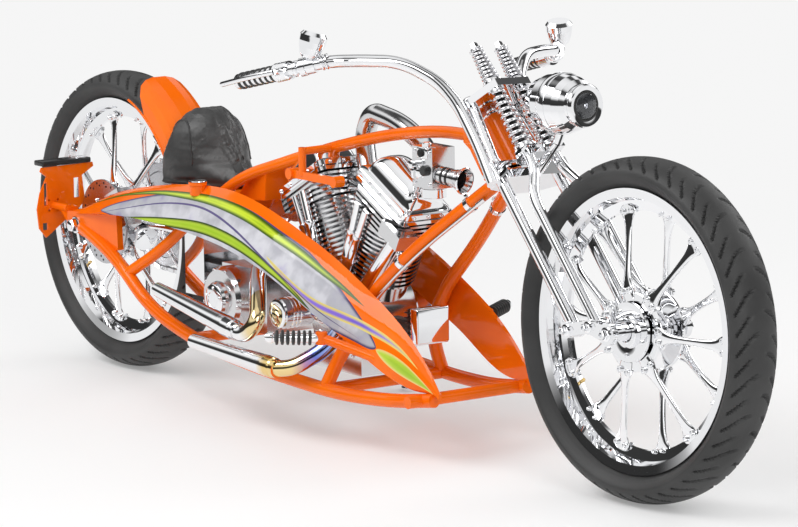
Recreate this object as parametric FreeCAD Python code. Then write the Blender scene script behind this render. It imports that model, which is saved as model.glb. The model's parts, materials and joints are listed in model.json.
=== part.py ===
import FreeCAD, Part
import math
import os

from FreeCAD import Rotation, Vector

# A long, low motorcycle with side pods, an open V-twin and a springer fork.
# It is drawn upright and straight: X forward from the rear axle, Y left, Z up from the floor.
# The parked pose, steered and leaning on the side stand, is applied at the end.

# Stance, in millimetres and degrees
WHEELBASE = 2055.0
TYRE_RADIUS = 370.0
RAKE_DEG = 42.0
HEAD_X = 1560.0
HEAD_Z = 742.0
PARKED_LEAN_DEG = 3.0
PARKED_STEER_DEG = 3.5

# Wheels
TYRE_WIDTH = 122.0
RIM_LIP_RADIUS = 305.0
RIM_LIP_HALF = 41.0
RIM_WALL = 6.0
RIM_WELL_RADIUS = 282.0
TYRE_BEAD_GAP = 5.0
TYRE_BEAD_DEEP = 4.0
TYRE_CROWN_HALF = 7.0
HUB_SHELL_RADIUS = 34.0
HUB_FLANGE_RADIUS = 55.0
HUB_FLANGE_THICK = 8.0
HUB_FLANGE_Y = 36.0
HUB_HALF = 48.0
AXLE_RADIUS = 12.5
BEARING_CLEARANCE = 0.08
RIM_RIB_RADIUS = 256.0
RIM_RIB_HALF = 5.0
SPOKE_COUNT = 14
SPOKE_THICK = 11.0
SPOKE_FOOT_HALF = 17.0
SPOKE_NECK_HALF = 7.0
SPOKE_PAD_HALF = 40.0
SPOKE_PAD_DEEP = 13.0

# Frame tubes
TUBE_RADIUS = 16.0
HEAD_TUBE_RADIUS = 25.0
HEAD_TUBE_TOP = -48.0
HEAD_TUBE_BOTTOM = 92.0
STEM_RADIUS = 12.5
BACKBONE_RADIUS = 14.0
BRANCH_SPREAD = 15.0
GUSSET_HALF = 20.0
RAIL_SPREAD = 180.0
AXLE_PLATE_Y = 152.0
FLARE_THICK = 16.0
CROSS_TUBES = [(1440.0, 143.0), (1095.0, 120.0), (560.0, 165.0)]
TRIM_SCRAP = 2000.0
BRAKE_LINE_RADIUS = 3.5

# Side pods
POD_INNER_Y = 126.0
POD_BULGE = 16.0

# Engine
CRANK_X = 1020.0
CRANK_Z = 262.0
CYLINDER_ANGLE_DEG = 28.0
CASE_RADIUS = 118.0
CASE_HALF = 78.0
CYLINDER_BASE = 128.0
FIN_RADIUS = 84.0
FIN_ROOT_RADIUS = 66.0
FIN_PITCH = 12.0
FIN_THICK = 5.0
BARREL_FINS = 12
HEAD_FINS = 5
HEAD_FIN_HALF = 92.0
HEAD_FIN_CORNER = 104.0
COVER_HALF = 70.0
PORT_OUT = 136.0
PORT_Y = -66.0

# Fork, measured along the steering axis, ahead of it and to the side
FORK_LEG_Y = 82.0
FORK_LEG_TOP_Y = 62.0
REAR_LEG_AHEAD = 16.0
FRONT_LEG_AHEAD = 80.0
REAR_LEG_RADIUS = 14.0
FRONT_LEG_RADIUS = 12.0
UPPER_CLAMP_AT = -66.0
LOWER_CLAMP_AT = 98.0
CLAMP_THICK = 18.0
LOWER_CLAMP_DEEP = 44.0
SPRING_Y = 35.0
UPPER_SPRING_TOP = -170.0
REAR_PIVOT_DOWN = 526.0
FRONT_PIVOT_DOWN = 562.0
ROCKER_THICK = 14.0
ROCKER_Y = 104.0

# Handlebars
BAR_RADIUS = 14.0
GRIP_RADIUS = 19.0
GRIP_FROM = 46.0
MIRROR_INBOARD = 44.0

# Side stand
STAND_PIVOT_X = 700.0
STAND_PIVOT_Z = 128.0
STAND_FOOT_X = 780.0
STAND_FOOT_Y = 300.0
STAND_KNEE = 46.0
STAND_PAD_RADIUS = 26.0
STAND_PAD_THICK = 8.0
STAND_LEG_RADIUS = 10.0
STAND_PIVOT_Y = 226.0
STAND_EYE_HALF = 10.0
STAND_PIN_RADIUS = 8.0
STAND_GAP = 2.0

# Mudguard and seat
MUDGUARD_RADIUS = 396.0
MUDGUARD_HALF = 70.0
MUDGUARD_WALL = 4.0
MUDGUARD_SKIRT = 62.0
MUDGUARD_FRONT_DEG = 12.0
MUDGUARD_REAR_DEG = 76.0
MUDGUARD_END_X = 142.0
MUDGUARD_END_Z = 745.0
MUDGUARD_END_RUN = 39.0
MUDGUARD_END_DROP = 86.0
SEAT_HALF = 112.0
SEAT_LOW = 505.0
SEAT_PAN_THICK = 5.0
SOFT_GAP = 0.5
SEAT_BOX_HALF = 60.0
PLATE_BRACKET_AFT = 116.0
PLATE_BOSS_Y = -157.0
PLATE_BOSS_Z = 406.0
PLATE_BOSS_RADIUS = 26.0
PLATE_PCD = 36.0
PLATE_HOLE_RADIUS = 3.0

# Pieces hung on the engine
PUSHROD_Y = 92.0
PUSHROD_RADIUS = 9.0
PUSHROD_FOOT = 96.0
OIL_FILTER_X = 950.0
OIL_FILTER_Z = 279.0
OIL_FILTER_OUT = 196.0
OIL_FILTER_IN = 110.0
INTAKE_RADIUS = 24.0
EXHAUST_RADIUS = 19.0
MUFFLER_RADIUS = 25.0
OUTLET_RADIUS = 13.0
OUTLET_DEEP = 60.0
GEARBOX_X = 640.0
GEARBOX_Z = 262.0
GEARBOX_HALF = 84.0
GEAR_CAP_AFT = 46.0
PRIMARY_IN = 110.0
PRIMARY_DEEP = 42.0
PRIMARY_REAR_RADIUS = 84.0
PRIMARY_FRONT_RADIUS = 52.0

# The engine's top mount, which hangs from the backbone on the right
MOUNT_X = 908.0
MOUNT_Y = -92.0
MOUNT_TOP_Z = 643.0
MOUNT_ROD_RADIUS = 9.0
MOUNT_ARM_Z = 586.0
MOUNT_ARM_BACK = 42.0
MOUNT_ARM_AHEAD = 140.0
MOUNT_ARM_WIDE = 10.0
MOUNT_ARM_DEEP = 18.0

# Final drive and rear brake
CHAIN_Y = 98.0
CHAIN_HALF = 7.0
CHAIN_HEIGHT = 12.0
CHAIN_GAP = 0.5
FRONT_SPROCKET = 42.0
REAR_SPROCKET = 130.0
DISC_Y = 78.0
DISC_RADIUS = 105.0
DISC_GAP = 1.5
CALIPER_WIDTH = 46.0
CALIPER_ANGLE_DEG = 24.0
SIDE_GAP = 0.5

# Filler caps on the pods
FILLER_X = 545.0
FILLER_Y = 148.0
FILLER_Z = 505.0

# Foot pegs, on struts ahead of the engine
PEG_BASE = Vector(1181.0, 232.0, 259.0)
PEG_TIP = Vector(1114.0, 342.0, 264.0)
PEG_STRUT_END = Vector(1349.0, 134.0, 204.0)


def vec(x, y, z):
    return Vector(float(x), float(y), float(z))


def unit(a, b):
    """The unit direction from a to b."""
    d = b - a
    d.normalize()
    return d


def mirrored(shape):
    """The same shape on the other side of the bike's middle plane."""
    return shape.mirror(vec(0, 0, 0), vec(0, 1, 0))


def both_sides(shape):
    return [shape, mirrored(shape)]


def fuse(shapes):
    """One shape from several that overlap."""
    first, rest = shapes[0], shapes[1:]
    if not rest:
        return first
    return first.fuse(rest).removeSplitter()


def rod(a, b, radius):
    """A round bar between two points."""
    return Part.makeCylinder(radius, (b - a).Length, a, unit(a, b))


def arc_path(points, share=0.48):
    """Straight runs joined by tangent arcs, each as large as its two runs allow."""
    edges = []
    start = points[0]
    for before, corner, after in zip(points, points[1:], points[2:]):
        back = unit(corner, before)
        ahead = unit(corner, after)
        reach = share * min((corner - before).Length, (after - corner).Length)
        half_turn = (math.pi - back.getAngle(ahead)) / 2
        radius = reach / math.tan(half_turn)
        entry = corner + back * reach
        leave = corner + ahead * reach
        middle = back + ahead
        middle.normalize()
        top = corner + middle * (radius / math.cos(half_turn) - radius)
        edges.append(Part.LineSegment(start, entry).toShape())
        edges.append(Part.Arc(entry, top, leave).toShape())
        start = leave
    edges.append(Part.LineSegment(start, points[-1]).toShape())
    return Part.Wire(edges)


def tube(points, radius, share=0.48):
    """A round tube that follows a path of runs and arcs."""
    path = arc_path(points, share)
    ring = Part.Wire(Part.makeCircle(radius, points[0], unit(points[0], points[1])))
    return path.makePipeShell([ring], True, False)


def turned(profile, centre, axis):
    """A closed profile of (radius, along) pairs revolved about an axis through a centre."""
    axis = Vector(axis)
    axis.normalize()
    spin = Rotation(vec(0, 0, 1), axis)
    points = [spin.multVec(vec(r, 0, a)) + centre for r, a in profile]
    face = Part.Face(Part.makePolygon(points + [points[0]]))
    return face.revolve(centre, axis, 360)


def box_about(centre, size):
    """A box given by its middle and its three sizes."""
    low = centre - vec(size[0] / 2, size[1] / 2, size[2] / 2)
    return Part.makeBox(size[0], size[1], size[2], low)


def plate(outline, thickness, normal):
    """A flat plate from corner points, thickened along its normal."""
    face = Part.Face(Part.makePolygon(outline + [outline[0]]))
    return face.extrude(Vector(normal) * thickness)


# Points on the fork are given as a distance down the steering axis, ahead of it, and to the left.
RAKE = math.radians(RAKE_DEG)
HEAD = vec(HEAD_X, 0, HEAD_Z)
DOWN_AXIS = vec(math.sin(RAKE), 0, -math.cos(RAKE))
AHEAD = vec(math.cos(RAKE), 0, math.sin(RAKE))
FRONT_AXLE = vec(WHEELBASE, 0, TYRE_RADIUS)
REAR_AXLE = vec(0, 0, TYRE_RADIUS)


def fork(down, ahead, left):
    return HEAD + DOWN_AXIS * down + AHEAD * ahead + vec(0, left, 0)


def spoke(side):
    """A bone-shaped spoke along X: a foot on the hub's flange, a waist, and a pad on the rim's rib."""
    foot = HUB_FLANGE_RADIUS - 16
    rise = RIM_RIB_RADIUS - foot
    waist = foot + 0.45 * rise
    shoulder = RIM_RIB_RADIUS - SPOKE_PAD_DEEP
    reach = RIM_RIB_RADIUS + SPOKE_PAD_DEEP
    edges = []
    for way in (1, -1):
        side_line = Part.BSplineCurve()
        side_line.interpolate([
            vec(foot, 0, way * SPOKE_FOOT_HALF), vec(foot + 0.2 * rise, 0, way * (SPOKE_NECK_HALF + 2.5)),
            vec(waist, 0, way * SPOKE_NECK_HALF), vec(waist + 0.28 * rise, 0, way * (SPOKE_NECK_HALF + 2)),
            vec(shoulder - 14, 0, way * (SPOKE_NECK_HALF + 12)), vec(shoulder, 0, way * SPOKE_PAD_HALF),
        ])
        edges.append(side_line.toShape())
        edges.append(Part.LineSegment(vec(shoulder, 0, way * SPOKE_PAD_HALF),
                                      vec(shoulder + 8, 0, way * SPOKE_PAD_HALF)).toShape())
    tip = SPOKE_PAD_HALF
    edges.append(Part.Arc(vec(shoulder + 8, 0, -tip), vec(reach, 0, 0), vec(shoulder + 8, 0, tip)).toShape())
    edges.append(Part.LineSegment(vec(foot, 0, -SPOKE_FOOT_HALF), vec(foot, 0, SPOKE_FOOT_HALF)).toShape())
    outline = Part.Wire(Part.__sortEdges__(edges))
    blade = Part.Face(outline).extrude(vec(0, side * SPOKE_THICK, 0))
    inner = HUB_FLANGE_Y - 2
    lean = math.atan2(inner - RIM_RIB_HALF - 2, rise)
    start = vec(0, side * (inner - SPOKE_THICK / 2 + foot * math.sin(lean)), 0)
    return placed(blade, Rotation(vec(0, 0, 1), -side * math.degrees(lean)), start)


def wheel(centre, prefix):
    """Tyre, rim, hub and spokes about an axle along Y."""
    y_axis = vec(0, 1, 0)
    half = TYRE_WIDTH / 2
    lip = RIM_LIP_RADIUS
    crown = TYRE_RADIUS
    bead = RIM_LIP_HALF - RIM_WALL - TYRE_BEAD_GAP
    tyre = turned([
        (lip - TYRE_BEAD_DEEP, -bead), (lip + 26, -half), (crown - 22, -half + 5), (crown - 6, -half + 27),
        (crown, -TYRE_CROWN_HALF), (crown, TYRE_CROWN_HALF), (crown - 6, half - 27), (crown - 22, half - 5),
        (lip + 26, half), (lip - TYRE_BEAD_DEEP, bead),
    ], centre, y_axis)
    well = RIM_WELL_RADIUS
    rim = turned([
        (lip, -RIM_LIP_HALF), (lip, -RIM_LIP_HALF + RIM_WALL), (lip - 14, -RIM_LIP_HALF + RIM_WALL + 3),
        (well + RIM_WALL, -14), (well + RIM_WALL, 14), (lip - 14, RIM_LIP_HALF - RIM_WALL - 3),
        (lip, RIM_LIP_HALF - RIM_WALL), (lip, RIM_LIP_HALF), (lip - 20, RIM_LIP_HALF - 3),
        (well, 20), (well - 4, 2 * RIM_RIB_HALF), (RIM_RIB_RADIUS, RIM_RIB_HALF),
        (RIM_RIB_RADIUS, -RIM_RIB_HALF), (well - 4, -2 * RIM_RIB_HALF), (well, -20),
        (lip - 20, -RIM_LIP_HALF + 3),
    ], centre, y_axis)
    bore = AXLE_RADIUS + BEARING_CLEARANCE
    flange_in = HUB_FLANGE_Y - HUB_FLANGE_THICK
    hub = turned([
        (bore, -HUB_HALF), (24, -HUB_HALF), (28, -HUB_FLANGE_Y), (HUB_FLANGE_RADIUS, -HUB_FLANGE_Y),
        (HUB_FLANGE_RADIUS, -flange_in), (HUB_SHELL_RADIUS, -flange_in), (HUB_SHELL_RADIUS - 6, 0),
        (HUB_SHELL_RADIUS, flange_in), (HUB_FLANGE_RADIUS, flange_in), (HUB_FLANGE_RADIUS, HUB_FLANGE_Y),
        (28, HUB_FLANGE_Y), (24, HUB_HALF), (bore, HUB_HALF),
    ], centre, y_axis)
    spokes = []
    for k in range(SPOKE_COUNT):
        spin = Rotation(y_axis, -360.0 * k / SPOKE_COUNT)
        spokes.append(placed(spoke(1 if k % 2 else -1), spin, centre))
    star = fuse([hub] + spokes).cut(rim)
    return {prefix + "_tyre": tyre, prefix + "_rim": rim, prefix + "_hub": largest(star)}


def head_tube():
    """The head tube, bored for the stem, with the gusset that the frame tubes meet at."""
    top = fork(HEAD_TUBE_TOP, 0, 0)
    bottom = fork(HEAD_TUBE_BOTTOM, 0, 0)
    gusset = plate([
        fork(HEAD_TUBE_TOP + 12, -8, -GUSSET_HALF), fork(HEAD_TUBE_BOTTOM - 4, -8, -GUSSET_HALF),
        vec(1558, -GUSSET_HALF, 630), vec(1520, -GUSSET_HALF, 634), vec(1466, -GUSSET_HALF, 698),
        vec(1442, -GUSSET_HALF, 712), vec(1442, -GUSSET_HALF, 738),
    ], 2 * GUSSET_HALF, vec(0, 1, 0))
    return fuse([rod(top, bottom, HEAD_TUBE_RADIUS), gusset])


def stem_bore():
    return rod(fork(HEAD_TUBE_TOP - 1, 0, 0), fork(HEAD_TUBE_BOTTOM + 1, 0, 0),
               STEM_RADIUS + BEARING_CLEARANCE)


BACKBONE_POINTS = [
    vec(1496, 0, 726), vec(1330, 0, 724), vec(1170, 0, 702), vec(1010, 0, 669), vec(846, 0, 627),
]
BRANCH_POINTS = [
    vec(930, 0, 649), vec(846, 3, 626), vec(784, BRANCH_SPREAD, 608), vec(736, 40, 589), vec(643, 78, 556),
    vec(500, 108, 462), vec(380, 150, 352), vec(262, 168, 286),
]
RAIL_POINTS = [
    vec(20, AXLE_PLATE_Y, 366), vec(200, 166, 312), vec(370, RAIL_SPREAD, 212), vec(590, RAIL_SPREAD, 158),
    vec(860, 178, 132), vec(1150, 165, 118), vec(1330, 146, 126), vec(1474, 131, 147),
]
DOWNTUBE_POINTS = [
    vec(1560, 24, 628), vec(1350, 88, 470), vec(1200, 104, 345), vec(1146, 106, 262), vec(1108, 132, 196),
    vec(1095, 164, 124),
]


def tail_flare():
    """The web that the rail's tail end and the axle sit in, under the pod's tail."""
    low = AXLE_PLATE_Y - FLARE_THICK / 2
    return plate([
        vec(-74, low, 398), vec(80, low, 408), vec(190, low, 424), vec(196, low, 330),
        vec(150, low, 316), vec(60, low, 338),
        vec(-20, low, 356),
    ], FLARE_THICK, vec(0, 1, 0))


def stand_lug():
    """The lug and headed pin for the side stand, welded to the left rail."""
    pivot = vec(STAND_PIVOT_X, STAND_PIVOT_Y, STAND_PIVOT_Z)
    outer_face = STAND_PIVOT_Y - STAND_EYE_HALF - STAND_GAP
    deep = outer_face - RAIL_SPREAD
    lug = box_about(vec(STAND_PIVOT_X, outer_face - deep / 2, STAND_PIVOT_Z + 8), (44, deep, 52))
    tip = pivot + vec(0, STAND_EYE_HALF + STAND_GAP, 0)
    pin = rod(pivot - vec(0, STAND_EYE_HALF + STAND_GAP + 2, 0), tip, STAND_PIN_RADIUS)
    return fuse([lug, pin, rod(tip, tip + vec(0, 5, 0), STAND_PIN_RADIUS + 5)])


def engine_mount():
    """The bracket from the backbone to the cylinder heads, with a round eye at each end of its arm."""
    elbow = vec(MOUNT_X, MOUNT_Y, MOUNT_TOP_Z - 1)
    foot = vec(MOUNT_X, MOUNT_Y, MOUNT_ARM_Z)
    back = foot - vec(MOUNT_ARM_BACK, 0, 0)
    ahead = foot + vec(MOUNT_ARM_AHEAD, 0, 0)
    arm = box_about((back + ahead) * 0.5, (MOUNT_ARM_BACK + MOUNT_ARM_AHEAD, MOUNT_ARM_WIDE, MOUNT_ARM_DEEP))
    eyes = [rod(spot - vec(0, 12, 0), spot + vec(0, 14, 0), 13) for spot in (back, ahead)]
    across = rod(vec(MOUNT_X, 0, MOUNT_TOP_Z), elbow, MOUNT_ROD_RADIUS)
    drop = rod(elbow + vec(0, 0, MOUNT_ROD_RADIUS), foot, MOUNT_ROD_RADIUS)
    return fuse([across, drop, arm] + eyes)


def brake_line():
    """The rear brake's steel line, clipped along the right downtube."""
    out = vec(10, 13, -17)
    side = [vec(1542, 31, 616) + out, vec(1350, 88, 470) + out, vec(1200, 104, 345) + out]
    side = [vec(p.x, -p.y, p.z) for p in side]
    line = tube(side, BRAKE_LINE_RADIUS)
    ends = [rod(side[0], side[0] + unit(side[0], side[1]) * 26, 1.6 * BRAKE_LINE_RADIUS),
            rod(side[2], side[2] + unit(side[2], side[1]) * 20, 1.6 * BRAKE_LINE_RADIUS)]
    return fuse([line] + ends)


def frame_tubes():
    """Backbone, cradle and lower rails, each trimmed to its neighbour."""
    neck = head_tube()
    axle_hole = rod(REAR_AXLE - vec(0, 300, 0), REAR_AXLE + vec(0, 300, 0), AXLE_RADIUS)
    rail = fuse([tube(RAIL_POINTS, TUBE_RADIUS), tail_flare()]).cut(axle_hole)
    branch = tube(BRANCH_POINTS, BACKBONE_RADIUS).cut(rail)
    spine = tube(BACKBONE_POINTS, BACKBONE_RADIUS)
    backbone = fuse([neck, spine, branch, mirrored(branch), engine_mount()])
    backbone = largest(backbone.cut(stem_bore()))
    rails = Part.makeCompound(both_sides(rail))
    cradle = both_sides(tube(DOWNTUBE_POINTS, TUBE_RADIUS))
    for x, z in CROSS_TUBES:
        cradle.append(rod(vec(x, -RAIL_SPREAD, z), vec(x, RAIL_SPREAD, z), TUBE_RADIUS - 2))
    cradle = fuse(cradle).cut(rails).cut(backbone)
    kept = [one for one in cradle.Solids if one.Volume > TRIM_SCRAP]
    return {
        "backbone": backbone,
        "cradle": Part.makeCompound(kept),
        "lower_rail_right": mirrored(rail),
        "lower_rail_left": fuse([rail, stand_lug()]),
        "brake_line": brake_line(),
    }


def largest(shape):
    return max(shape.Solids, key=lambda s: s.Volume)


# Along each pod: the ridge height, the height of the lower edge and how far out it reaches.
POD_SECTIONS = [
    (-76, 402, 388, 150), (80, 441, 400, 172), (250, 487, 416, 186), (480, 521, 418, 195),
    (700, 524, 403, 200), (930, 472, 353, 200), (1115, 411, 282, 195), (1226, 362, 237, 185),
    (1326, 312, 184, 166), (1420, 246, 158, 146), (1494, 166, 144, 134),
]


def pod():
    """One long side pod: flat inside, crowned outside, a ridge on top."""
    wires = []
    for x, top, low, out in POD_SECTIONS:
        ridge = vec(x, POD_INNER_Y + 4, top)
        outer = vec(x, out, low + 8)
        inner_low = vec(x, POD_INNER_Y, low)
        inner_top = vec(x, POD_INNER_Y, top - 6)
        across = outer - ridge
        normal = vec(0, -across.z, across.y)
        normal.normalize()
        swell = POD_BULGE * across.Length / 140
        crown = (ridge + outer) * 0.5 + normal * swell
        under = (outer + inner_low) * 0.5 - vec(0, 0, swell * 0.3)
        wires.append(Part.Wire([
            Part.Arc(ridge, crown, outer).toShape(),
            Part.Arc(outer, under, inner_low).toShape(),
            Part.LineSegment(inner_low, inner_top).toShape(),
            Part.LineSegment(inner_top, ridge).toShape(),
        ]))
    return Part.makeLoft(wires, True, False)


def crank():
    return vec(CRANK_X, 0, CRANK_Z)


def cylinder_axis(lean):
    return vec(math.sin(math.radians(lean)), 0, math.cos(math.radians(lean)))


def cylinder(lean):
    """A finned barrel and head on one axis."""
    axis = cylinder_axis(lean)
    profile = [(40, CYLINDER_BASE)]
    at = CYLINDER_BASE
    for k in range(BARREL_FINS):
        profile += [(FIN_ROOT_RADIUS, at), (FIN_ROOT_RADIUS, at + FIN_PITCH - FIN_THICK),
                    (FIN_RADIUS, at + FIN_PITCH - FIN_THICK), (FIN_RADIUS, at + FIN_PITCH)]
        at += FIN_PITCH
    profile.append((40, at))
    barrel = turned(profile, crank(), axis)
    spin = Rotation(vec(0, 0, 1), axis)
    head = []
    for k in range(HEAD_FINS):
        slab = box_about(vec(0, 0, at + FIN_PITCH * (k + 0.5)), (2 * HEAD_FIN_HALF, 168, FIN_THICK + 1))
        head.append(slab.common(Part.makeCylinder(HEAD_FIN_CORNER, 400)))
    head.append(box_about(vec(0, 0, at + FIN_PITCH * HEAD_FINS / 2),
                          (2 * FIN_ROOT_RADIUS, 130, FIN_PITCH * HEAD_FINS)))
    outward = 1 if lean > 0 else -1
    port_in = FIN_ROOT_RADIUS - 6
    head.append(box_about(vec(outward * (port_in + PORT_OUT) / 2, PORT_Y, at + FIN_PITCH * 2.5 + 4),
                          (PORT_OUT - port_in, 52, FIN_PITCH * 3)))
    head = fuse(head)
    head = placed(head, spin, crank())
    return fuse([barrel, head])


def placed(shape, spin, origin):
    """The shape turned about the origin, then moved there."""
    return shape.transformed(FreeCAD.Placement(origin, spin).toMatrix(), True)


HEAD_TOP = CYLINDER_BASE + FIN_PITCH * (BARREL_FINS + HEAD_FINS)


def rocker_cover(lean, length, radius):
    """The rounded cover on a head."""
    axis = cylinder_axis(lean)
    spin = Rotation(vec(0, 0, 1), axis)
    body = box_about(vec(0, 0, HEAD_TOP + 15), (length, 2 * COVER_HALF, 30))
    crown = Part.makeCylinder(radius, length, vec(-length / 2, 0, HEAD_TOP + 30), vec(1, 0, 0))
    crown = crown.common(box_about(vec(0, 0, HEAD_TOP + 30 + radius / 2), (length, 3 * radius, radius)))
    return placed(fuse([body, crown]), spin, crank())


def oil_filter():
    """The filter can, pointing out of the case to the right."""
    return turned([
        (0, -OIL_FILTER_OUT), (33, -OIL_FILTER_OUT), (36, -OIL_FILTER_OUT + 4), (36, -OIL_FILTER_OUT + 20),
        (36, -OIL_FILTER_IN - 8), (30, -OIL_FILTER_IN), (22, -OIL_FILTER_IN), (22, -CASE_HALF + 4),
        (0, -CASE_HALF + 4),
    ], vec(OIL_FILTER_X, 0, OIL_FILTER_Z), vec(0, 1, 0))


def engine(frame):
    """Crankcase, cylinders and rocker covers; the covers are trimmed to the tubes above them."""
    c = crank()
    y_axis = vec(0, 1, 0)
    case = turned([
        (0, -CASE_HALF), (CASE_RADIUS - 12, -CASE_HALF), (CASE_RADIUS, -CASE_HALF + 12),
        (CASE_RADIUS, CASE_HALF - 12), (CASE_RADIUS - 12, CASE_HALF), (0, CASE_HALF),
    ], c, y_axis)
    decks = []
    for lean in (-CYLINDER_ANGLE_DEG, CYLINDER_ANGLE_DEG):
        axis = cylinder_axis(lean)
        decks.append(Part.makeCylinder(FIN_ROOT_RADIUS + 8, CYLINDER_BASE, c, axis))
    cam = turned([
        (0, -CASE_HALF - 46), (50, -CASE_HALF - 46), (60, -CASE_HALF - 36), (60, -CASE_HALF + 10),
        (0, -CASE_HALF + 10),
    ], c + vec(0, 0, 46), y_axis)
    sump = box_about(c + vec(0, 0, -90), (190, 2 * CASE_HALF, 60))
    body = fuse([case, cam, sump] + decks)
    rear = cylinder(-CYLINDER_ANGLE_DEG).cut(body)
    front = cylinder(CYLINDER_ANGLE_DEG).cut(body)
    covers = [rocker_cover(-CYLINDER_ANGLE_DEG, 200, 52), rocker_cover(CYLINDER_ANGLE_DEG, 210, 54)]
    covers = [largest(cover.cut(frame["backbone"])) for cover in covers]
    return {
        "crankcase": Part.makeCompound([body, largest(oil_filter().cut(body))]),
        "cylinders": Part.makeCompound([rear, front.cut(rear)]),
        "rocker_covers": Part.makeCompound(covers),
    }


def steering_parts():
    """Clamps, legs, springs, rockers, axle, bars and lamp of the springer fork."""
    out = {}
    # Rear legs, splayed above the lower clamp
    lower_mid = LOWER_CLAMP_AT + LOWER_CLAMP_DEEP / 2
    leg_points = [
        fork(UPPER_CLAMP_AT + CLAMP_THICK / 2, REAR_LEG_AHEAD, FORK_LEG_TOP_Y),
        fork(lower_mid, REAR_LEG_AHEAD, FORK_LEG_Y),
        fork(REAR_PIVOT_DOWN, REAR_LEG_AHEAD, FORK_LEG_Y),
    ]
    eye = rod(fork(REAR_PIVOT_DOWN, REAR_LEG_AHEAD, FORK_LEG_Y - 12),
              fork(REAR_PIVOT_DOWN, REAR_LEG_AHEAD, ROCKER_Y - ROCKER_THICK / 2), 17)
    rear_leg = fuse([tube(leg_points, REAR_LEG_RADIUS, 0.15), eye])
    front_points = [
        fork(LOWER_CLAMP_AT + 14, FRONT_LEG_AHEAD, SPRING_Y),
        fork(LOWER_CLAMP_AT + 60, FRONT_LEG_AHEAD, SPRING_Y + 6),
        fork(LOWER_CLAMP_AT + 128, FRONT_LEG_AHEAD, FORK_LEG_Y),
        fork(FRONT_PIVOT_DOWN, FRONT_LEG_AHEAD, FORK_LEG_Y),
    ]
    front_eye = rod(fork(FRONT_PIVOT_DOWN, FRONT_LEG_AHEAD, FORK_LEG_Y - 10),
                    fork(FRONT_PIVOT_DOWN, FRONT_LEG_AHEAD, ROCKER_Y - ROCKER_THICK / 2), 14)
    front_leg = fuse([tube(front_points, FRONT_LEG_RADIUS, 0.45), front_eye])
    # Clamps
    lower = fuse([
        plate_down(LOWER_CLAMP_AT, LOWER_CLAMP_DEEP, [
            (REAR_LEG_AHEAD - 22, -FORK_LEG_Y - 20), (REAR_LEG_AHEAD + 22, -FORK_LEG_Y - 20),
            (REAR_LEG_AHEAD + 26, 0), (REAR_LEG_AHEAD + 22, FORK_LEG_Y + 20),
            (REAR_LEG_AHEAD - 22, FORK_LEG_Y + 20), (REAR_LEG_AHEAD - 44, 30), (REAR_LEG_AHEAD - 44, -30),
        ]),
        rod(fork(LOWER_CLAMP_AT + 1, 0, 0), fork(UPPER_CLAMP_AT, 0, 0), STEM_RADIUS),
    ])
    upper = plate_down(UPPER_CLAMP_AT - CLAMP_THICK / 2, CLAMP_THICK, [
        (REAR_LEG_AHEAD - 20, -FORK_LEG_TOP_Y - 18), (REAR_LEG_AHEAD + 18, -FORK_LEG_TOP_Y - 18),
        (FRONT_LEG_AHEAD + 24, -SPRING_Y - 12), (FRONT_LEG_AHEAD + 24, SPRING_Y + 12),
        (REAR_LEG_AHEAD + 18, FORK_LEG_TOP_Y + 18), (REAR_LEG_AHEAD - 20, FORK_LEG_TOP_Y + 18),
        (REAR_LEG_AHEAD - 40, 24), (REAR_LEG_AHEAD - 40, -24),
    ])
    legs = Part.makeCompound(both_sides(rear_leg))
    lower = lower.cut(legs)
    upper = upper.cut(legs).cut(rod(fork(UPPER_CLAMP_AT - 40, 0, 0), fork(UPPER_CLAMP_AT + 40, 0, 0),
                                    STEM_RADIUS + BEARING_CLEARANCE))
    out["fork_rear_legs"] = legs
    lower = largest(lower)
    upper = largest(upper)
    perch = plate_down(LOWER_CLAMP_AT + 6, 8, [
        (FRONT_LEG_AHEAD - 20, -SPRING_Y - 20), (FRONT_LEG_AHEAD + 22, -SPRING_Y - 20),
        (FRONT_LEG_AHEAD + 22, SPRING_Y + 20), (FRONT_LEG_AHEAD - 20, SPRING_Y + 20),
    ])
    out["fork_front_legs"] = fuse(both_sides(front_leg) + [perch])
    # Springs above and below the upper clamp
    springs = []
    lower_top = UPPER_CLAMP_AT + CLAMP_THICK / 2
    lower_end = LOWER_CLAMP_AT + 6
    upper_end = UPPER_CLAMP_AT - CLAMP_THICK / 2
    for start, end, r_start, r_end in ((lower_top, lower_end, 17, 24),
                                       (UPPER_SPRING_TOP, upper_end, 14, 20)):
        springs.append(spring(start, end, r_start, r_end))
    out["fork_springs"] = Part.makeCompound([s for one in springs for s in both_sides(one)])
    # Rockers carry the axle ahead of the leg pivots
    reach = ROCKER_Y - ROCKER_THICK / 2
    axle = rod(FRONT_AXLE - vec(0, reach, 0), FRONT_AXLE + vec(0, reach, 0), AXLE_RADIUS)
    collars = [rod(FRONT_AXLE + vec(0, s * (HUB_HALF + 0.5), 0), FRONT_AXLE + vec(0, s * reach, 0), 17)
               for s in (1, -1)]
    out["fork_rockers"] = Part.makeCompound(both_sides(rocker_plate()) + [fuse([axle] + collars)])
    # Handlebars
    bar_points = [fork(*p) for p in BAR_POINTS]
    grip_at = bar_points[-2]
    tip = bar_points[-1]
    grip_dir = unit(grip_at, tip)
    grip_start = grip_at + grip_dir * GRIP_FROM
    bar = tube(bar_points[:-1] + [grip_start], BAR_RADIUS, 0.45)
    out["handlebars"] = Part.makeCompound([s for s in both_sides(largest(bar.cut(Part.makeCompound(
        [lower, upper, legs]))))])
    grip = rod(grip_start, tip, GRIP_RADIUS)
    out["grips"] = Part.makeCompound(both_sides(grip))
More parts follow.
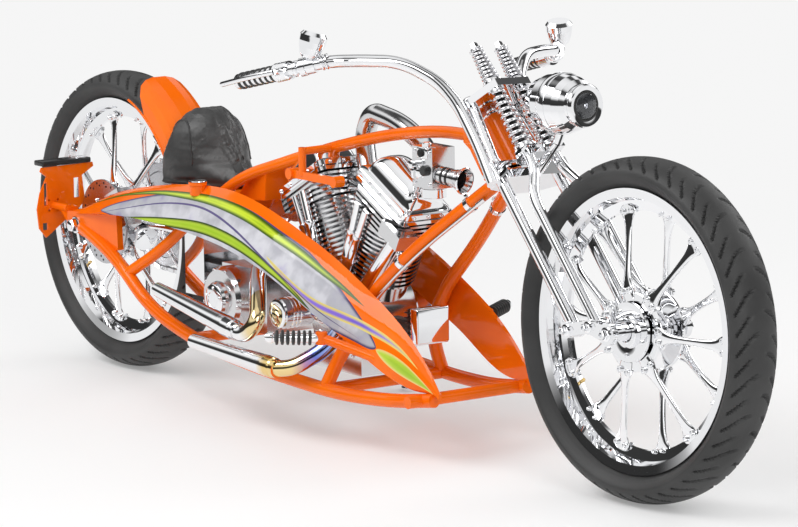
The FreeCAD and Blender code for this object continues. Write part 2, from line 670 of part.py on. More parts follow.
    # Headlamp
    lamp_dir = unit(LAMP_REAR, LAMP_FRONT)
    length = (LAMP_FRONT - LAMP_REAR).Length
    shell = turned([
        (0, 0), (22, 3), (40, 13), (54, 32), (62, 56), (66, 84), (66, 104), (62, 126), (55, 142), (46, 152),
        (46, length), (0, length),
    ], LAMP_REAR, lamp_dir)
    glass = turned([
        (0, length), (LAMP_GLASS_RADIUS, length), (LAMP_GLASS_RADIUS - 4, length + 5), (20, length + 11),
        (0, length + 12),
    ], LAMP_REAR, lamp_dir)
    out["headlamp"] = shell
    out["headlamp_lens"] = glass
    post_top = LAMP_REAR + lamp_dir * (length * 0.55) - vec(0, 0, 62)
    post_bend = fork(LOWER_CLAMP_AT + 30, FRONT_LEG_AHEAD + 60, 0)
    post = fuse([
        rod(fork(LOWER_CLAMP_AT + 40, REAR_LEG_AHEAD + 20, 0), post_bend, 11),
        rod(post_bend, post_top, 11),
    ])
    post = largest(post.cut(shell).cut(lower).cut(out["fork_front_legs"]))
    out["fork_clamps"] = Part.makeCompound([lower, upper, post])
    return out


LAMP_REAR = vec(1670, 0, 824)
LAMP_FRONT = vec(1836, 0, 828)
LAMP_GLASS_RADIUS = 38.0

BAR_POINTS = [
    (LOWER_CLAMP_AT + 42, 14, -106), (40, 14, -94), (-75, 14, -94), (-139, 10, -114), (-208, -2, -176),
    (-239, -34, -258), (-254, -52, -326), (-283, -117, -372), (-368, -273, -392),
]


def plate_down(at, thickness, outline):
    """A plate square to the steering axis from (ahead, left) corners."""
    points = [fork(at, a, y) for a, y in outline]
    return plate(points, thickness, DOWN_AXIS)


def spring(start, end, r_start, r_end):
    """A coil column on the right, as a stack of rounded turns round its guide rod."""
    turns = 9
    pitch = (end - start) / turns
    core = 6.0
    profile = [(0, start), (core, start)]
    for k in range(turns):
        r = r_start + (r_end - r_start) * (k + 0.5) / turns
        base = start + pitch * k
        profile += [(r - 6, base + pitch * 0.02), (r, base + pitch * 0.5)]
    profile += [(core, end), (0, end)]
    foot = fork(0, FRONT_LEG_AHEAD, -SPRING_Y)
    return turned([(r, a) for r, a in profile], foot, DOWN_AXIS)


def rocker_plate():
    inner = ROCKER_Y - ROCKER_THICK / 2
    spots = [
        (fork(REAR_PIVOT_DOWN, REAR_LEG_AHEAD, inner), 18),
        (fork(FRONT_PIVOT_DOWN, FRONT_LEG_AHEAD, inner), 16),
        (FRONT_AXLE + vec(0, inner, 0), 24),
    ]
    y_axis = vec(0, 1, 0)
    solids = []
    for spot, radius in spots:
        solids.append(Part.makeCylinder(radius, ROCKER_THICK, spot, y_axis))
    for (a, ra), (b, rb) in zip(spots, spots[1:]):
        side = unit(a, b).cross(y_axis)
        near = side * ra * 0.8
        far = side * rb * 0.8
        solids.append(plate([a + near, b + far, b - far, a - near], ROCKER_THICK, y_axis))
    return fuse(solids)


def mudguard_ring(radius, half_width):
    """The solid that the mudguard's outer surface encloses, over its whole sweep."""
    return Part.makeCylinder(radius, 2 * half_width, REAR_AXLE - vec(0, half_width, 0), vec(0, 1, 0))


def mudguard():
    """A short guard of rounded section round the wheel's own centre, cut at a slant at its rear end."""
    crown = MUDGUARD_RADIUS
    half = MUDGUARD_HALF
    wall = MUDGUARD_WALL
    skirt = MUDGUARD_SKIRT
    outer = [(crown - skirt, half), (crown - 30, half - 3), (crown - 13, half - 13), (crown - 4, half - 30),
             (crown, half - 52)]
    inner = [(crown - skirt, half - wall), (crown - 31, half - 3 - wall), (crown - 15, half - 15 - wall / 2),
             (crown - 8, half - 31), (crown - wall, half - 52)]
    outline = outer + [(r, -y) for r, y in reversed(outer)]
    outline += [(r, -y) for r, y in inner] + [(r, y) for r, y in reversed(inner)]
    first = math.radians(MUDGUARD_FRONT_DEG)
    ahead = vec(math.cos(first), 0, math.sin(first))
    points = [REAR_AXLE + ahead * r + vec(0, y, 0) for r, y in outline]
    face = Part.Face(Part.makePolygon(points + [points[0]]))
    guard = face.revolve(REAR_AXLE, vec(0, -1, 0), MUDGUARD_REAR_DEG - MUDGUARD_FRONT_DEG)
    end = vec(MUDGUARD_END_X, -2 * half, MUDGUARD_END_Z)
    slope = vec(MUDGUARD_END_RUN, 0, -MUDGUARD_END_DROP) * 3
    aft = vec(crown, 0, 0)
    behind = plate([end - slope, end + slope, end + slope - aft, end - slope - aft], 4 * half, vec(0, 1, 0))
    return guard.cut(behind)


SEAT_PROFILE = [
    (324, 506), (318, 570), (324, 640), (340, 676), (362, 692), (392, 692), (420, 676), (446, 640),
    (470, 598),
    (500, 564), (530, 540), (548, 514), (500, 508), (440, 506),
]


def seat_pad():
    """The tall solo seat, astride the mudguard."""
    outline = [vec(x, -SEAT_HALF, z) for x, z in SEAT_PROFILE]
    block = plate(outline, 2 * SEAT_HALF, vec(0, 1, 0))
    # Narrower towards the top and the nose
    trims = []
    for side in (1, -1):
        trims.append(plate([
            vec(200, side * SEAT_HALF, 570), vec(200, side * SEAT_HALF * 1.5, 570),
            vec(200, side * SEAT_HALF * 1.5, 760), vec(200, side * SEAT_HALF * 0.3, 760),
            vec(200, side * SEAT_HALF * 0.82, 650),
        ], 500, vec(1, 0, 0)))
        trims.append(plate([
            vec(352, side * SEAT_HALF, 400), vec(430, side * SEAT_HALF * 0.74, 400),
            vec(500, side * SEAT_HALF * 0.42, 400), vec(600, side * SEAT_HALF * 0.2, 400),
            vec(600, side * SEAT_HALF * 1.5, 400), vec(352, side * SEAT_HALF * 1.5, 400),
        ], 400, vec(0, 0, 1)))
    groove = mudguard_ring(MUDGUARD_RADIUS + SOFT_GAP, MUDGUARD_HALF + SOFT_GAP)
    return largest(block.cut(trims).cut(groove))


# The plate bracket's outline, and its slots' middles and sizes, as (left, up) pairs seen from behind.
BRACKET_OUTLINE = [
    (-199, 350), (-180, 326), (-154, 344), (-130, 361), (-97, 382), (-65, 408), (-73, 474), (-39, 494),
    (-41, 504), (-189, 502), (-193, 492), (-175, 478), (-195, 438), (-204, 398),
]
BRACKET_SLOTS = [((-179, 434), (9, 56)), ((-89, 444), (16, 50)), ((-182, 354), (14, 18))]


def rear_parts(frame):
    """Rear axle, mudguard, seat, plate bracket and tail lamp."""
    out = {}
    reach = AXLE_PLATE_Y + FLARE_THICK / 2 + 10
    axle = rod(REAR_AXLE - vec(0, reach, 0), REAR_AXLE + vec(0, reach, 0), AXLE_RADIUS)
    inner = AXLE_PLATE_Y - FLARE_THICK / 2
    collars = [
        rod(REAR_AXLE + vec(0, CHAIN_Y + 3 + SIDE_GAP, 0), REAR_AXLE + vec(0, inner, 0), 18),
        rod(REAR_AXLE - vec(0, DISC_Y + 2.5 + SIDE_GAP, 0),
            REAR_AXLE - vec(0, DISC_Y + CALIPER_WIDTH / 2, 0), 18),
        rod(REAR_AXLE - vec(0, DISC_Y + CALIPER_WIDTH / 2 + 8, 0), REAR_AXLE - vec(0, inner, 0), 18),
    ]
    out["rear_axle"] = fuse([axle] + collars)
    out["rear_mudguard"] = mudguard()
    pad = largest(seat_pad().cut(frame["backbone"]))
    out["seat"] = pad
    low = SEAT_LOW - SEAT_PAN_THICK
    pan = plate([
        vec(340, -92, low), vec(420, -80, low), vec(600, -46, low), vec(600, 46, low), vec(420, 80, low),
        vec(340, 92, low),
    ], SEAT_PAN_THICK, vec(0, 0, 1))
    pan = pan.cut(mudguard_ring(MUDGUARD_RADIUS, MUDGUARD_HALF))
    base = plate([
        vec(580, -SEAT_BOX_HALF, 490), vec(700, -SEAT_BOX_HALF, 500), vec(706, -SEAT_BOX_HALF, 580),
        vec(640, -SEAT_BOX_HALF, 556), vec(590, -SEAT_BOX_HALF, 506),
    ], 2 * SEAT_BOX_HALF, vec(0, 1, 0))
    out["seat_base"] = largest(fuse([pan, base]).cut(frame["backbone"]).cut(pad))
    # Plate bracket on the right tail, with the lamp along its top
    face_x = -PLATE_BRACKET_AFT
    panel = plate([vec(face_x, y, z) for y, z in BRACKET_OUTLINE], 5, vec(1, 0, 0))
    stub = fuse([
        rod(vec(face_x + 5, PLATE_BOSS_Y, PLATE_BOSS_Z), vec(-40, PLATE_BOSS_Y, PLATE_BOSS_Z), 9),
        box_about(vec(-50, PLATE_BOSS_Y + 12, PLATE_BOSS_Z - 8), (24, 30, 24)),
    ])
    stub = stub.cut(frame["pods"]).cut(frame["all"])
    middle = vec(face_x, PLATE_BOSS_Y, PLATE_BOSS_Z)
    panel = panel.fuse(Part.makeCylinder(PLATE_BOSS_RADIUS, 4, middle - vec(4, 0, 0), vec(1, 0, 0)))
    for (y, z), (wide, tall) in BRACKET_SLOTS:
        panel = panel.cut(box_about(vec(face_x, y, z), (20, wide, tall)))
    for k in range(4):
        turn = math.radians(45 + 90 * k)
        spot = middle + vec(-6, PLATE_PCD / 2 * math.cos(turn), PLATE_PCD / 2 * math.sin(turn))
        panel = panel.cut(Part.makeCylinder(PLATE_HOLE_RADIUS, 14, spot, vec(1, 0, 0)))
    out["plate_bracket"] = largest(fuse([panel, stub]))
    out["tail_lamp"] = box_about(vec(face_x - 12, -118, 511), (44, 140, 13))
    return out


def engine_room(frame, eng):
    """Everything that hangs on the engine or beside it."""
    out = {}
    y_axis = vec(0, 1, 0)
    block = Part.makeCompound(list(eng.values()))
    c = crank()
    # Pushrod tubes from the cam chest to the heads
    rods = []
    for lean in (-CYLINDER_ANGLE_DEG, CYLINDER_ANGLE_DEG):
        axis = cylinder_axis(lean)
        side = vec(axis.z, 0, -axis.x)
        inward = -1 if lean > 0 else 1
        for offset in (0, 34):
            foot = c + axis * PUSHROD_FOOT + side * (inward * offset * 0.3) + vec(0, -PUSHROD_Y, 0)
            head = c + axis * (HEAD_TOP - 26) + side * (inward * offset) + vec(0, -PUSHROD_Y, 0)
            rods.append(rod(foot, head, PUSHROD_RADIUS))
    out["pushrod_tubes"] = Part.makeCompound([largest(r.cut(block)) for r in rods])
    # Intake runners over the V, carburettor and velocity stack
    runner = tube([
        vec(1020, 20, 560), vec(955, 50, 668), vec(985, 52, 730), vec(1110, 48, 714), vec(1215, 40, 672),
        vec(1330, -34, 652),
    ], INTAKE_RADIUS, 0.45)
    ports = rod(vec(925, 20, 560), vec(1115, 20, 560), INTAKE_RADIUS - 4)
    runner = largest(fuse([runner, ports]).cut(block).cut(frame["backbone"]))
    body = box_about(vec(1364, -46, 652), (76, 62, 92))
    mouth_from = vec(1400, -52, 637)
    mouth_dir = vec(0.95, 0.24, -0.12)
    stack = turned([
        (0, 0), (19, 0), (19, 34), (23, 52), (29, 66), (27, 70), (21, 56), (16, 36), (0, 36),
    ], mouth_from, mouth_dir)
    bowl = rod(vec(1364, -46, 582), vec(1364, -46, 610), 27)
    carburettor = largest(fuse([body, stack, bowl]).cut(runner).cut(frame["backbone"]))
    out["intake"] = Part.makeCompound([runner, carburettor])
    # Exhausts, each from its port to a tapered silencer with an open end
    front_pipe = tube([
        vec(1264, PORT_Y - 6, 486), vec(1183, -78, 397), vec(1102, -97, 291), vec(1084, -146, 213),
        vec(1040, -218, 168), vec(1000, -238, 163),
    ], EXHAUST_RADIUS, 0.45)
    rear_pipe = tube([
        vec(782, PORT_Y, 482), vec(742, -78, 412), vec(772, -132, 345), vec(852, -186, 306),
        vec(914, -228, 262), vec(880, -240, 222), vec(815, -240, 233),
    ], EXHAUST_RADIUS, 0.45)
    front = fuse([front_pipe, silencer(vec(1012, -237, 163), vec(650, -236, 178))]).cut(block)
    rear = fuse([rear_pipe, silencer(vec(850, -240, 228), vec(495, -236, 281))]).cut(block)
    out["exhausts"] = Part.makeCompound([largest(front), largest(rear)])
    # Gearbox, with its output sprocket between it and the primary drive
    axis_spot = vec(GEARBOX_X, 0, GEARBOX_Z)
    box = box_about(axis_spot, (190, 2 * GEARBOX_HALF, 150))
    cover = turned([
        (0, -140), (38, -140), (42, -134), (44, -126), (70, -124), (78, -114), (78, -80), (0, -80),
    ], vec(GEARBOX_X - GEAR_CAP_AFT, 0, GEARBOX_Z - 4), y_axis)
    shaft = turned([
        (0, GEARBOX_HALF - 1), (22, GEARBOX_HALF - 1), (22, CHAIN_Y - CHAIN_HALF),
        (FRONT_SPROCKET, CHAIN_Y - 3),
        (FRONT_SPROCKET, CHAIN_Y + 3), (22, CHAIN_Y + CHAIN_HALF), (22, PRIMARY_IN), (0, PRIMARY_IN),
    ], axis_spot, y_axis)
    out["gearbox"] = largest(fuse([box, cover, shaft]).cut(block))
    front_end = vec(CRANK_X, PRIMARY_IN, CRANK_Z)
    rear_end = vec(GEARBOX_X, PRIMARY_IN, GEARBOX_Z)
    rear_size = PRIMARY_REAR_RADIUS
    front_size = PRIMARY_FRONT_RADIUS
    cover = fuse([
        Part.makeCylinder(front_size, PRIMARY_DEEP, front_end, y_axis),
        Part.makeCylinder(rear_size, PRIMARY_DEEP, rear_end, y_axis),
        plate([front_end + vec(0, 0, front_size), front_end - vec(0, 0, front_size),
               rear_end - vec(0, 0, rear_size), rear_end + vec(0, 0, rear_size)], PRIMARY_DEEP, y_axis),
        Part.makeCylinder(46, PRIMARY_IN - CASE_HALF, vec(CRANK_X, CASE_HALF, CRANK_Z), y_axis),
    ])
    out["primary_cover"] = largest(cover.cut(block).cut(out["gearbox"]).cut(frame["all"]))
    out["drive_chain"] = drive_chain()
    # Oil tank behind the gearbox
    strap = box_about(vec(515, 0, 300), (90, 60, 24))
    tank = fuse([box_about(vec(440, -5, 330), (84, 180, 170)), strap])
    tank = tank.cut(rod(REAR_AXLE - vec(0, 300, 0), REAR_AXLE + vec(0, 300, 0), TYRE_RADIUS + 14))
    out["oil_tank"] = largest(tank.cut(frame["all"]).cut(out["gearbox"]))
    arm = box_about(c + vec(185, 0, 0), (150, 30, 30)).cut(block)
    out["regulator"] = fuse([box_about(c + vec(302, 0, 16), (118, 110, 84)), largest(arm)])
    return out


def silencer(start, end):
    """A tapered can with a collar at its front and a bored outlet at its rear."""
    length = (end - start).Length
    tip = MUFFLER_RADIUS - 8
    return turned([
        (0, 0), (EXHAUST_RADIUS + 3, 0), (EXHAUST_RADIUS + 3, 14), (EXHAUST_RADIUS + 5, 20),
        (MUFFLER_RADIUS, 48),
        (MUFFLER_RADIUS - 1, 70), (tip, length), (OUTLET_RADIUS, length),
        (OUTLET_RADIUS, length - OUTLET_DEEP),
        (0, length - OUTLET_DEEP),
    ], start, end - start)


def belt_outline(grow, half):
    """The slab inside a chain line that runs round both sprockets."""
    y_axis = vec(0, 1, 0)
    rear = vec(0, CHAIN_Y - half, TYRE_RADIUS)
    front = vec(GEARBOX_X, CHAIN_Y - half, GEARBOX_Z)
    r_rear = REAR_SPROCKET + grow
    r_front = FRONT_SPROCKET + grow
    span = (front - rear).Length
    along = unit(rear, front)
    across = vec(-along.z, 0, along.x)
    if across.z < 0:
        across = across * -1
    tilt = math.asin((r_rear - r_front) / span)
    corners = []
    for sign in (1, -1):
        tangent = across * (sign * math.cos(tilt)) + along * math.sin(tilt)
        corners.append((rear + tangent * r_rear, front + tangent * r_front))
    (top_rear, top_front), (low_rear, low_front) = corners
    return fuse([
        Part.makeCylinder(r_rear, 2 * half, rear, y_axis),
        Part.makeCylinder(r_front, 2 * half, front, y_axis),
        plate([top_rear, top_front, low_front, low_rear], 2 * half, y_axis),
    ])


def drive_chain():
    """The final drive chain, as one band round both sprockets."""
    outer = belt_outline(CHAIN_HEIGHT, CHAIN_HALF)
    inner = belt_outline(CHAIN_GAP, CHAIN_HALF + 1)
    return outer.cut(inner)


def rear_drive():
    """The sprocket and the brake disc bolted to the rear hub, and the caliper over the disc."""
    y_axis = vec(0, 1, 0)
    bore = AXLE_RADIUS + BEARING_CLEARANCE
    sprocket = turned([
        (bore, HUB_HALF), (40, HUB_HALF), (40, CHAIN_Y - 5), (REAR_SPROCKET - 24, CHAIN_Y - 5),
        (REAR_SPROCKET - 20, CHAIN_Y - 3), (REAR_SPROCKET, CHAIN_Y - 3), (REAR_SPROCKET, CHAIN_Y + 3),
        (30, CHAIN_Y + 3), (bore, CHAIN_Y + 3),
    ], REAR_AXLE, y_axis)
    disc = turned([
        (bore, -HUB_HALF), (40, -HUB_HALF), (40, -DISC_Y + 4), (78, -DISC_Y + 3), (82, -DISC_Y + 2.5),
        (DISC_RADIUS, -DISC_Y + 2.5), (DISC_RADIUS, -DISC_Y - 2.5), (30, -DISC_Y - 2.5),
        (bore, -DISC_Y - 2.5),
    ], REAR_AXLE, y_axis)
    out = {"sprocket_and_disc": Part.makeCompound([sprocket, disc])}
    turn = math.radians(CALIPER_ANGLE_DEG)
    out_dir = vec(math.cos(turn), 0, math.sin(turn))
    spot = REAR_AXLE + out_dir * (DISC_RADIUS - 8) + vec(0, -DISC_Y, 0)
    body = box_about(vec(0, 0, 0), (66, CALIPER_WIDTH, 96))
    slot = box_about(vec(-20, 0, 0), (60, 5 + 2 * DISC_GAP, 120))
    body = placed(body.cut(slot), Rotation(vec(0, 1, 0), -CALIPER_ANGLE_DEG), spot)
    arm_y = -DISC_Y - CALIPER_WIDTH / 2
    hub_spot = REAR_AXLE + vec(0, arm_y, 0)
    arm_tip = spot + vec(0, arm_y - spot.y, 0)
    arm = fuse([
        rod(hub_spot - vec(0, 8, 0), hub_spot, 26),
        rod(arm_tip - vec(0, 8, 0), arm_tip, 24),
        plate([hub_spot + vec(-14, 0, 20), arm_tip + vec(-10, 0, 20), arm_tip + vec(10, 0, -20),
               hub_spot + vec(14, 0, -20)], 8, vec(0, -1, 0)),
    ])
    caliper = fuse([body, arm]).cut(rod(REAR_AXLE - vec(0, 200, 0), REAR_AXLE, AXLE_RADIUS))
    out["rear_caliper"] = largest(caliper)
    return out


def small_parts(frame):
    """Filler caps, foot pegs, mirrors and hand levers."""
    out = {}
    caps = []
    for side in (1, -1):
        foot = vec(FILLER_X, side * FILLER_Y, FILLER_Z)
        cap = turned([(0, 0), (19, 0), (19, 22), (22, 24), (22, 31), (0, 33)], foot, vec(0, 0, 1))
        caps.append(largest(cap.cut(frame["pods"])))
    out["filler_caps"] = Part.makeCompound(caps)
    base = PEG_BASE
    tip = PEG_TIP
    direction = unit(base, tip)
    length = (tip - base).Length
    profile = [(0, 0), (11, 0), (11, 18)]
    at = 22.0
    while at < length - 18:
        profile += [(13, at), (17, at + 3), (17, at + 8), (13, at + 11)]
        at += 13
    profile += [(12, length - 4), (6, length), (0, length)]
    peg = turned(profile, base, direction)
    strut = rod(base - direction * 2, PEG_STRUT_END, 11)
    knuckle = rod(base - vec(0, 0, 13), base + vec(0, 0, 13), 13)
    peg = largest(fuse([peg, strut, knuckle]).cut(frame["pods"]).cut(frame["all"]))
    out["foot_pegs"] = Part.makeCompound(both_sides(peg))
    return out


def controls(steer):
    """Hand levers and round, ribbed mirror cups on the bars."""
    held = Part.makeCompound([steer["handlebars"], steer["grips"]])
    bar_points = [fork(*p) for p in BAR_POINTS]
    start = bar_points[-2]
    end = bar_points[-1]
    along = unit(start, end)
    outward = along.cross(vec(0, 0, 1))
    outward.normalize()
    pivot = start + along * 22 - outward * 34
    clamp = rod(start + along * 6, start + along * 40, 21)
    arm = rod(start + along * 22, pivot, 8)
    blade = tube([pivot, pivot + along * 70 - outward * 10, pivot + along * 186 + outward * 12], 6, 0.48)
    lever = largest(fuse([clamp, arm, blade]).cut(held))
    inboard = unit(start, bar_points[-3])
    stem_foot = start + inboard * MIRROR_INBOARD
    top = stem_foot + vec(8, -4, 44)
    mirror = turned([
        (0, -28), (14, -28), (22, -20), (27, -6), (30, 8), (31, 22), (25, 30), (0, 30),
    ], top, vec(0.12, 0.2, 0.97))
    stem = rod(stem_foot, top, 7)
    base = rod(stem_foot - inboard * 12, stem_foot + inboard * 12, 19)
    mirror_set = largest(fuse([mirror, stem, base]).cut(held).cut(lever))
    return {"hand_controls": Part.makeCompound(both_sides(lever) + both_sides(mirror_set))}


def side_stand():
    """The prop stand, swung forward to its stop, with its pad flat on the floor."""
    lean = math.radians(PARKED_LEAN_DEG)
    up = vec(0, -math.sin(lean), math.cos(lean))
    floor = -TYRE_CROWN_HALF * math.sin(lean)
    pad_z = (floor + STAND_FOOT_Y * math.sin(lean)) / math.cos(lean)
    pivot = vec(STAND_PIVOT_X, STAND_PIVOT_Y, STAND_PIVOT_Z)
    foot = vec(STAND_FOOT_X, STAND_FOOT_Y, pad_z)
    ankle = foot + up * (STAND_PAD_THICK + 2)
    knee = pivot + unit(pivot, vec(STAND_FOOT_X, STAND_PIVOT_Y, pad_z)) * STAND_KNEE
    leg = tube([pivot + unit(pivot, knee) * (STAND_PIN_RADIUS + 3), knee, ankle], STAND_LEG_RADIUS, 0.3)
    half = vec(0, STAND_EYE_HALF, 0)
    eye = rod(pivot - half, pivot + half, 16)
    eye = eye.cut(rod(pivot - half * 2, pivot + half * 2, STAND_PIN_RADIUS + BEARING_CLEARANCE))
    pad = Part.makeCylinder(STAND_PAD_RADIUS, STAND_PAD_THICK, foot, up)
    return {"side_stand": eye.fuse([leg, pad])}


STEERED = ["fork_clamps", "fork_rear_legs", "fork_front_legs", "fork_springs", "fork_rockers", "handlebars",
           "grips", "headlamp", "headlamp_lens", "hand_controls"]
FRONT_WHEEL = ["front_tyre", "front_rim", "front_hub"]


def upright():
    """Every node by name, upright and straight."""
    nodes = {}
    nodes.update(frame_tubes())
    tubes = [nodes["backbone"], nodes["cradle"], nodes["lower_rail_left"]]
    nodes["pod_left"] = largest(pod().cut(tubes))
    nodes["pod_right"] = mirrored(nodes["pod_left"])
    frame = {
        "backbone": nodes["backbone"],
        "pods": Part.makeCompound([nodes["pod_left"], nodes["pod_right"]]),
        "all": Part.makeCompound(list(nodes.values())),
    }
    eng = engine(frame)
    nodes.update(eng)
    nodes.update(engine_room(frame, eng))
    nodes.update(rear_parts(frame))
    nodes.update(rear_drive())
    nodes.update(small_parts(frame))
    steer = steering_parts()
    nodes.update(steer)
    nodes.update(controls(steer))
    nodes.update(wheel(REAR_AXLE, "rear"))
    nodes.update(wheel(FRONT_AXLE, "front"))
    nodes.update(side_stand())
    return nodes


def turn_about(origin, axis, degrees):
    """A placement that turns about a line."""
    return FreeCAD.Placement(vec(0, 0, 0), Rotation(axis, degrees), origin)


def parked_steer():
    return turn_about(HEAD, DOWN_AXIS * -1, PARKED_STEER_DEG)


def parked_lean():
    return turn_about(vec(0, 0, 0), vec(1, 0, 0), -PARKED_LEAN_DEG)


def parked(nodes):
    """The nodes steered and leaned as the bike parks, and the shift that stands it on the floor."""
    out = {}
    for name, shape in nodes.items():
        place = parked_lean()
        if name in STEERED or name in FRONT_WHEEL:
            place = place.multiply(parked_steer())
        moved = shape.copy()
        moved.Placement = place.multiply(moved.Placement)
        out[name] = moved
    box = FreeCAD.BoundBox()
    for shape in out.values():
        box.add(shape.optimalBoundingBox(False, False))
    shift = vec(-(box.XMin + box.XMax) / 2, -(box.YMin + box.YMax) / 2, -box.ZMin)
    for shape in out.values():
        shape.translate(shift)
    return out, shift


def main():
    os.makedirs("parts", exist_ok=True)
    nodes, shift = parked(upright())
    for name, shape in nodes.items():
        if not shape.isValid():
            print("not valid:", name)
        shape.exportStep("parts/" + name + ".step")


main()
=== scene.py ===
"""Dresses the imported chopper: camera, studio, finishes, and the pieces that the CAD leaves to the looks."""

import json
import logging
import math
from dataclasses import dataclass
from enum import Enum
from typing import Iterable, Sequence

import bmesh
import bpy
import numpy as np
from mathutils import Matrix, Vector, noise
from mathutils.bvhtree import BVHTree

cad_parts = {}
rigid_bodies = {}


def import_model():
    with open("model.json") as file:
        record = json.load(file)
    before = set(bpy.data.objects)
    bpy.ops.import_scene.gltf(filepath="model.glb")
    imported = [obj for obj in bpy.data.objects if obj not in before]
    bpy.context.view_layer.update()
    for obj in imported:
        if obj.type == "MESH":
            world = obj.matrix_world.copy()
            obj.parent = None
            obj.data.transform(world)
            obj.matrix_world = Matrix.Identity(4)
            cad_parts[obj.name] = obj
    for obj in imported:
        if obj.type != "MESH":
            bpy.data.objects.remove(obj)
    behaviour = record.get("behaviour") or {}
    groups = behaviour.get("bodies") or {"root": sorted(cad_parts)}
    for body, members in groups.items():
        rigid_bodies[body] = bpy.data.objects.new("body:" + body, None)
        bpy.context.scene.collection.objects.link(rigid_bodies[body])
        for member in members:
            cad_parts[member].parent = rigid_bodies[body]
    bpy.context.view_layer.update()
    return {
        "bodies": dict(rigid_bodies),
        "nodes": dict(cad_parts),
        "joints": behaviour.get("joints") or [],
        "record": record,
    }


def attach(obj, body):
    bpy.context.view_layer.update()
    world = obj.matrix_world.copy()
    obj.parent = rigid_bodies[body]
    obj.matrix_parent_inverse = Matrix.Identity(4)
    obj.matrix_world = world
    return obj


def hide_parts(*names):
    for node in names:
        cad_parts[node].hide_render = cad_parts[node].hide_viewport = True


LOG = logging.getLogger("chopper")
Point = tuple[float, float, float]
Colour = tuple[float, float, float, float]
Profile = Sequence[tuple[float, float]]
Socket, Node, Tree = bpy.types.NodeSocket, bpy.types.Node, bpy.types.NodeTree
Material, Mesh, Object = bpy.types.Material, bpy.types.Mesh, bpy.types.Object
MM = 0.001
AHEAD, LEFT, UP = Vector((1, 0, 0)), Vector((0, 1, 0)), Vector((0, 0, 1))
AFT, RIGHT = Vector((-1, 0, 0)), Vector((0, -1, 0))
# How upright an axis is before its square directions start from AHEAD and not from UP
UPRIGHT_PAST = 0.9
# The angle in degrees past which an edge stays sharp
SHARP_DEG = 34.0


class Body(Enum):
    """The CAD bodies that pieces ride on."""

    FRAME = "frame"
    STEERING = "steering"
    FRONT_WHEEL = "front_wheel"
    REAR_WHEEL = "rear_wheel"
    STAND = "side_stand"


@dataclass(frozen=True)
class Stance:
    """How the upright machine's millimetres become the parked part's metres.

    X is forward from the rear axle, Y left and Z up from the floor.
    """

    wheelbase: float = 2055.0
    tyre_radius: float = 370.0
    rake_deg: float = 42.0
    head_x: float = 1560.0
    head_z: float = 742.0
    lean_deg: float = 3.0
    steer_deg: float = 3.5
    rear_axle: Vector = Vector((0, 0, 0))

    @property
    def rake(self) -> float:
        """The steering axis' angle from upright, in radians."""
        return math.radians(self.rake_deg)

    @property
    def head(self) -> Vector:
        """A point on the steering axis, upright millimetres."""
        return Vector((self.head_x, 0, self.head_z))

    @property
    def down(self) -> Vector:
        """The direction down the steering axis."""
        return Vector((math.sin(self.rake), 0, -math.cos(self.rake)))

    @property
    def ahead(self) -> Vector:
        """The direction square to the steering axis and forward."""
        return Vector((math.cos(self.rake), 0, math.sin(self.rake)))

    @property
    def rear_middle(self) -> Vector:
        """The rear axle's middle, upright millimetres."""
        return Vector((0, 0, self.tyre_radius))

    @property
    def front_axle(self) -> Vector:
        """The front axle's middle, upright millimetres."""
        return Vector((self.wheelbase, 0, self.tyre_radius))

    def fork(self, down: float, ahead: float, left: float) -> Vector:
        """A point given down the steering axis, ahead of it and to the left.

        Returns:
            The point in upright millimetres.
        """
        return self.head + self.down * down + self.ahead * ahead + Vector((0, left, 0))

    def matrix(self, steered: bool) -> Matrix:
        """The step from upright millimetres to the parked part's metres.

        Args:
            steered: whether the fork's own turn is applied as well.

        Returns:
            A four by four matrix.
        """
        lean = Matrix.Rotation(math.radians(-self.lean_deg), 4, "X")
        low = self.rear_axle / MM - lean @ Vector((0, 0, self.tyre_radius))
        place = Matrix.Scale(MM, 4) @ Matrix.Translation(low) @ lean
        if steered:
            turn = Matrix.Rotation(math.radians(self.steer_deg), 4, -self.down)
            place = place @ Matrix.Translation(self.head) @ turn @ Matrix.Translation(-self.head)
        return place

    def place(self, body: Body) -> Matrix:
        """The matrix for pieces on one body."""
        return self.matrix(body in (Body.STEERING, Body.FRONT_WHEEL))


def link_object(name: str, data: bpy.types.ID) -> Object:
    """Makes an object of some data and links it to the scene."""
    made = bpy.data.objects.new(name, data)
    bpy.context.scene.collection.objects.link(made)
    return made


@dataclass(frozen=True)
class Viewpoint:
    """The photograph's camera, from the rear axle's middle."""

    from_axle_mm: Point = (9310.5, -5628.9, 1962.6)
    yaw_deg: float = 145.36593
    pitch_deg: float = -11.02970
    roll_deg: float = -3.31847
    focal_px: float = 4426.6961
    width_px: int = 798
    sensor_mm: float = 36.0

    def build(self, rear_axle: Vector) -> None:
        """Adds the camera and makes it the scene's.

        Args:
            rear_axle: the rear axle's middle in metres.
        """
        yaw, pitch, roll = (math.radians(v) for v in (self.yaw_deg, self.pitch_deg, self.roll_deg))
        look = Vector((math.cos(pitch) * math.cos(yaw), math.cos(pitch) * math.sin(yaw), math.sin(pitch)))
        right = look.cross(UP).normalized()
        up = right.cross(look)
        c, s = math.cos(roll), math.sin(roll)
        right, up = c * right + s * up, c * up - s * right
        turn = Matrix((right, up, -look)).transposed().to_4x4()
        data = bpy.data.cameras.new("viewpoint")
        data.sensor_width = self.sensor_mm
        data.lens = self.focal_px * self.sensor_mm / self.width_px
        data.clip_end = 100.0
        camera = link_object("viewpoint", data)
        camera.matrix_world = Matrix.Translation(rear_axle + Vector(self.from_axle_mm) * MM) @ turn
        bpy.context.scene.camera = camera


